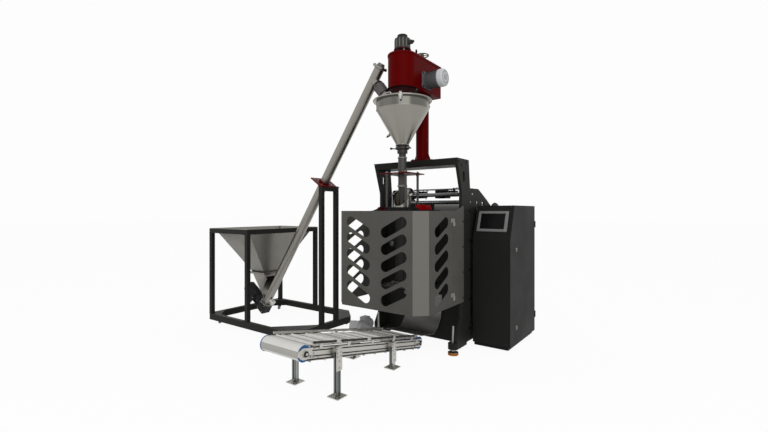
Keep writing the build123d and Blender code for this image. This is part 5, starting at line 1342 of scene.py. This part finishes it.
class FILLER_OT_cabinet(bpy.types.Operator):
    """Add the glass, screws, panel seal, cable glands and the painted shade round the door of the control
    cabinet
    """
    bl_idname = "filler.cabinet"
    bl_label = "Cabinet details"

    def execute(self, context):
        self.add_panel()
        foot, top = 60, SLOPE_START + SLOPE_RISE
        outline = [(CABINET_FRONT, foot), (CABINET_BACK, foot), (CABINET_BACK, top),
                   (CABINET_FRONT + SLOPE_LEAN, top), (CABINET_FRONT, SLOPE_START)]
        # A near-black line round the door: painted shade in the gap between door and cabinet.
        bars("door_gap_shade", "shadow", [[(946.9, y, z) for y, z in outline]], 1.1, cyclic=True)
        piece("latch_plates", "bright_steel", [ring((967.1, 774, z), X, 14.6, 20.5, 2.2, 0.8, 40)
                                               for z in (1080, 236)], "cabinet_door")
        bolts("cabinet_hinge_screws", grid(Y, (916, 934), CABINET_BACK + 4, (1321, 236)), 0.5)
        piece("cable_glands", "rubber", [lathe((x, CABINET_BACK + 0.2, 190), Y, [
            (0, 17), (7, 17), (8, 14.5), (18, 14.5), (26, 10), (26, 0.5)], 24) for x in (620, 690, 760, 830)])
        louvres("cabinet_louvres", "cabinet_paint", 0.22, 0.011, 750, CABINET_BACK,
                range(1180, 1420, 24))
        bolts("cabinet_front_screws", grid(-Y, (566, 928), CABINET_FRONT, (90, 620, 1150)), 0.6)
        piece("cabinet_plinth", "black_block", [block((556, 600, 24), (940, 1425, 59.8), 3)])
        return {"FINISHED"}

    def add_panel(self):
        level = 1385
        facing = Vector((0, -SLOPE_RISE, SLOPE_LEAN)).normalized()
        depth = SLOPE_LEAN * (level - SLOPE_START) / SLOPE_RISE
        panel = local_frame((749, CABINET_FRONT + depth, level), X, facing)
        piece("panel_glass", "screen", [block((-136.5, -88, 11.2), (136.5, 88, 12.6), 0.5, panel)])
        seal = [block((-172.5, side * 117.5, 0.5), (172.5, side * 120, 6), 0.8, panel) for side in SIDES]
        seal += [block((side * 170, -117.5, 0.5), (side * 172.5, 117.5, 6), 0.8, panel) for side in SIDES]
        piece("panel_seal", "rubber", seal)
        bolts("panel_screws", [(panel @ Vector((x, y, 0.0142)), facing) for x in (-0.154, 0.154)
                               for y in (-0.101, 0.101)], 0.45, "bolt")


class FILLER_OT_motors(bpy.types.Operator):
    """Add cooling fins, fan covers and terminal boxes to the motors, and the handwheel's grip"""
    bl_idname = "filler.motors"
    bl_label = "Motor details"

    def execute(self, context):
        piece("handwheel_grip", "black_block", [lathe((-60.6, 381, 3296), Z, [
            (0, 8.5), (2, 10.5), (20, 12.5), (44, 12), (60, 9.5), (65, 5)], 24)], "lift_handwheel")
        self.dress_side_motor(context.scene.filler_sizes)
        self.dress_top_motor(context.scene.filler_sizes)
        self.dress_feeder_motor()
        self.dress_conveyor_motor()
        return {"FINISHED"}

    def dress_side_motor(self, sizes):
        end, y, z = box_of("agitator_motor")[1].x, 234, 2920
        fins("side_motor_fins", "motor", (184, y, z), X, 87, 130, sizes.side_fins, sizes.fin_height * 0.6)
        cover = [(0, 88.5), (2, 93.5), (42, 93.5), (56, 88), (65.5, 78), (65.5, 74), (62.5, 72), (60, 71.5)]
        hub = [(0, 46), (0, 52), (4.5, 50), (5.5, 40), (4, 34), (0, 36)]
        piece("side_motor_fan_cover", "fan_cap", [hoop((end - FAN_COVER_DEPTH, y, z), X, cover, 64),
                                                  hoop((end - 2, y, z), X, hub, 64)])
        # Darker grey fan disc: painted shade in the recess of the cover
        piece("side_motor_fan", "fan_back", [
            lathe((end + 0.3, y, z), X, [(0, 73), (0.8, 71.5), (1, 2)], 64)])
        piece("side_motor_grille", "fan_cap", [
            rod(*((end + 2.2, y + reach * math.cos(angle), z + reach * math.sin(angle))
                  for reach in (51, 73.5)), 2.2, 8) for angle in turns(12)])
        bolts("side_motor_bolts", grid(X, 168, (y - 74, y + 74), (z - 74, z + 74)))

    def dress_top_motor(self, sizes):
        foot, cap, socket = 3222, 3336, 3284
        # Lighter fins: painted highlight on the ribs
        fins("top_motor_fins", "motor_fin", (0, 0, foot + 11), Z, 79.5, 92, sizes.top_fins, 0.0065, 0.013)
        piece("top_motor_rings", "motor", [
            ring((0, 0, foot + 0.3), Z, 79, 84.5, 10, 1.5, 64),
            ring((0, 0, cap - 11), Z, 79, 83.5, 10, 1.5, 64),
            ring((0, 0, cap + 0.2), Z, 51.5, 57, 12, 1.5, 64)])
        plug = [(0, 15.5), (2, 16.5), (9, 16.5), (10, 13.5), (17, 13.5), (18, 11), (22, 9)]
        piece("top_motor_connector", "motor_dark", [
            ring((0, 0, cap + 16), Z, 51.5, 54.5, 24, 2, 64), lathe((124, 0, socket), X, plug, 24),
            block((84, -19, socket - 20), (90, 19, socket + 20), 1.5),
            block((112, -18.5, socket - 19), (118, 18.5, socket + 19), 1.5)])
        bolts("top_motor_bolts", circle((0, 0, foot), Z, 87.5, 4, math.pi / 4), 0.6, "bolt")
        bolts("top_motor_cap_screws", circle((0, 0, cap), Z, 68, 4, math.pi / 4), 0.6)

    def dress_feeder_motor(self):
        gear = -70
        fins("feeder_motor_fins", "motor_dark", feeder_at(gear, 125), FEEDER_UP, 77, 225, 30, 0.007)
        piece("feeder_motor_rings", "motor_dark", [
            ring(feeder_at(gear, 92), FEEDER_UP, 77, 88, 14, 2),
            lathe(feeder_at(gear, 372), FEEDER_UP, [
                (0, 79), (2, 84), (44, 84), (52, 78), (55.5, 66), (53.5, 60), (53.5, 30), (56, 26),
                (56, 2)], 56)])
        side = local_frame(feeder_at(gear, 210, -112), FEEDER_ALONG, FEEDER_UP)
        piece("feeder_box_lid", "motor_dark", [block((-48, -8, -58), (48, 0, 58), 3, side)])
        bolts("feeder_box_screws", [(side @ Vector((x, -0.0085, z)), -Y) for x in (-0.04, 0.04)
                                    for z in (-0.05, 0.05)], 0.5, "bolt")
        bolts("feeder_gear_bolts", circle(feeder_at(gear, 106), FEEDER_UP, 83.5, 6, 0.3), 0.6, "bolt")
        bolts("gearbox_bolts", circle(feeder_at(-140), -FEEDER_ALONG, 52, 6, 0.5)
              + [(feeder_at(gear + along, up, -70), -Y) for along in (-50, 50) for up in (-50, 50)],
              0.7, "bolt")
        piece("gearbox_caps", "motor_dark", [
            ring(feeder_at(gear, 0, -70.5), -Y, 2, 42, 8, 1.5, 40),
            ring(feeder_at(-140.5), -FEEDER_ALONG, 2, 38, 7, 1.5, 40)])

    def dress_conveyor_motor(self):
        x, y, z = -376, -330, 268
        fins("conveyor_motor_fins", "belt_motor", (x, y + 30, z), Y, 51.5, 160, 22, 0.005)
        piece("conveyor_motor_cover", "belt_motor", [
            lathe((x, y + 205, z), Y, [(0, 52), (2, 57), (38, 57), (46, 51), (47.5, 40), (45.5, 36),
                                       (45.5, 2)], 48),
            ring((x, y + 2, z), Y, 51, 59, 12, 1.5, 48),
            block((x - 37.5, y + 112.5, z + 78.5), (x + 37.5, y + 207.5, z + 84), 2)])
        bolts("conveyor_case_bolts", [(belt_at(-253.3, distance, height), -X) for distance, height in (
            (0, 34), (0, -34), (80, 66), (170, 100), (300, 132), (300, 62))], 0.6, "bolt")


class FILLER_OT_stage(bpy.types.Operator):
    """Set the floor, the soft lamps, the pale world and the camera"""
    bl_idname = "filler.stage"
    bl_label = "Stage"

    def execute(self, context):
        settings = context.scene.filler_stage
        self.add_floor(context, settings)
        self.add_world(context, settings)
        low, high = cad_box
        middle = (Vector(low) + Vector(high)) / 2
        self.add_lamp(context, "Key lamp", middle, Vector((6.5, -6.5, 4.5)), settings.key_power)
        self.add_lamp(context, "Fill lamp", middle, Vector((-5.0, -8.0, 3.0)), settings.fill_power)
        self.add_camera(context, settings)
        context.scene.view_settings.view_transform = "Standard"
        return {"FINISHED"}

    def seen_directly(self, tree):
        """Give a mask that is 1 for what the camera sees straight, mirrored or through glass."""
        rays = node(tree, "ShaderNodeLightPath").outputs
        seen = calculate(tree, "MAXIMUM", rays["Is Camera Ray"], rays["Is Glossy Ray"])
        return calculate(tree, "MAXIMUM", seen, rays["Is Transmission Ray"])

    def add_floor(self, context, settings):
        reach = 60.0
        mesh = bpy.data.meshes.new("Floor")
        mesh.from_pydata([(reach * x, reach * y, 0) for x, y in CORNERS], [], [(0, 1, 2, 3)])
        floor = bpy.data.objects.new("Floor", mesh)
        context.scene.collection.objects.link(floor)
        material, tree, shader = start_finish("Floor", 0.0)
        shader.inputs["Base Color"].default_value = linear(settings.floor)
        shader.inputs["Roughness"].default_value = 0.9
        glow = node(tree, "ShaderNodeEmission", Strength=1.01)
        glow_share = calculate(tree, "MULTIPLY", self.seen_directly(tree), 0.93)
        mixed = node(tree, "ShaderNodeMixShader", glow_share, shader.outputs[0], glow.outputs[0])
        feed(tree, tree.nodes["Material Output"].inputs["Surface"], mixed.outputs[0])
        mesh.materials.append(material)

    def add_world(self, context, settings):
        world = bpy.data.worlds.new("Pale room")
        context.scene.world = world
        world.use_nodes = True
        tree = world.node_tree
        background = tree.nodes["Background"].inputs
        background["Color"].default_value = linear(screen(253, 253, 253))
        feed(tree, background["Strength"], blend(tree, self.seen_directly(tree), settings.ambient, 1.0))

    def add_lamp(self, context, name, target, offset, power):
        light = bpy.data.lights.new(name, "AREA")
        light.energy = power
        light.shape = "SQUARE"
        light.size = 8.0
        lamp = bpy.data.objects.new(name, light)
        context.scene.collection.objects.link(lamp)
        lamp.location = target + offset
        lamp.rotation_euler = (-offset).to_track_quat("-Z", "Y").to_euler()

    def add_camera(self, context, settings):
        camera = bpy.data.cameras.new("Photo view")
        camera.lens = settings.lens
        camera.sensor_width = 36.0
        camera.shift_y = -5.0 / 768
        viewer = bpy.data.objects.new("Photo view", camera)
        context.scene.collection.objects.link(viewer)
        viewer.location = at(2483, -3751, 1500)
        viewer.rotation_euler = Vector((-0.588, 0.809, 0.0)).to_track_quat("-Z", "Y").to_euler()
        context.scene.camera = viewer


class FILLER_PT_panel(bpy.types.Panel):
    """List the machine's dressing steps"""
    bl_idname = "FILLER_PT_panel"
    bl_label = "Powder filler"
    bl_space_type = "VIEW_3D"
    bl_region_type = "UI"
    bl_category = "Filler"

    def draw(self, context):
        for step in STEPS:
            self.layout.operator(step.bl_idname)


STEPS = [FILLER_OT_finishes, FILLER_OT_head, FILLER_OT_hopper, FILLER_OT_motors, FILLER_OT_feeder,
         FILLER_OT_cart, FILLER_OT_conveyor, FILLER_OT_guard, FILLER_OT_bagger, FILLER_OT_cabinet,
         FILLER_OT_frame_details, FILLER_OT_stage]
CLASSES = [FillerColors, FillerSizes, FillerStage, *STEPS, FILLER_PT_panel]


def register():
    for item in CLASSES:
        bpy.utils.register_class(item)
    bpy.types.Scene.filler_colors = PointerProperty(type=FillerColors)
    bpy.types.Scene.filler_sizes = PointerProperty(type=FillerSizes)
    bpy.types.Scene.filler_stage = PointerProperty(type=FillerStage)


def unregister():
    del bpy.types.Scene.filler_colors, bpy.types.Scene.filler_sizes, bpy.types.Scene.filler_stage
    for item in reversed(CLASSES):
        bpy.utils.unregister_class(item)


def main():
    register()
    bpy.ops.filler.finishes()
    bpy.ops.filler.head()
    bpy.ops.filler.hopper()
    bpy.ops.filler.motors()
    bpy.ops.filler.feeder()
    bpy.ops.filler.cart()
    bpy.ops.filler.conveyor()
    bpy.ops.filler.guard()
    bpy.ops.filler.bagger()
    bpy.ops.filler.cabinet()
    bpy.ops.filler.frame_details()
    bpy.ops.filler.stage()


if __name__ == "__main__":
    main()
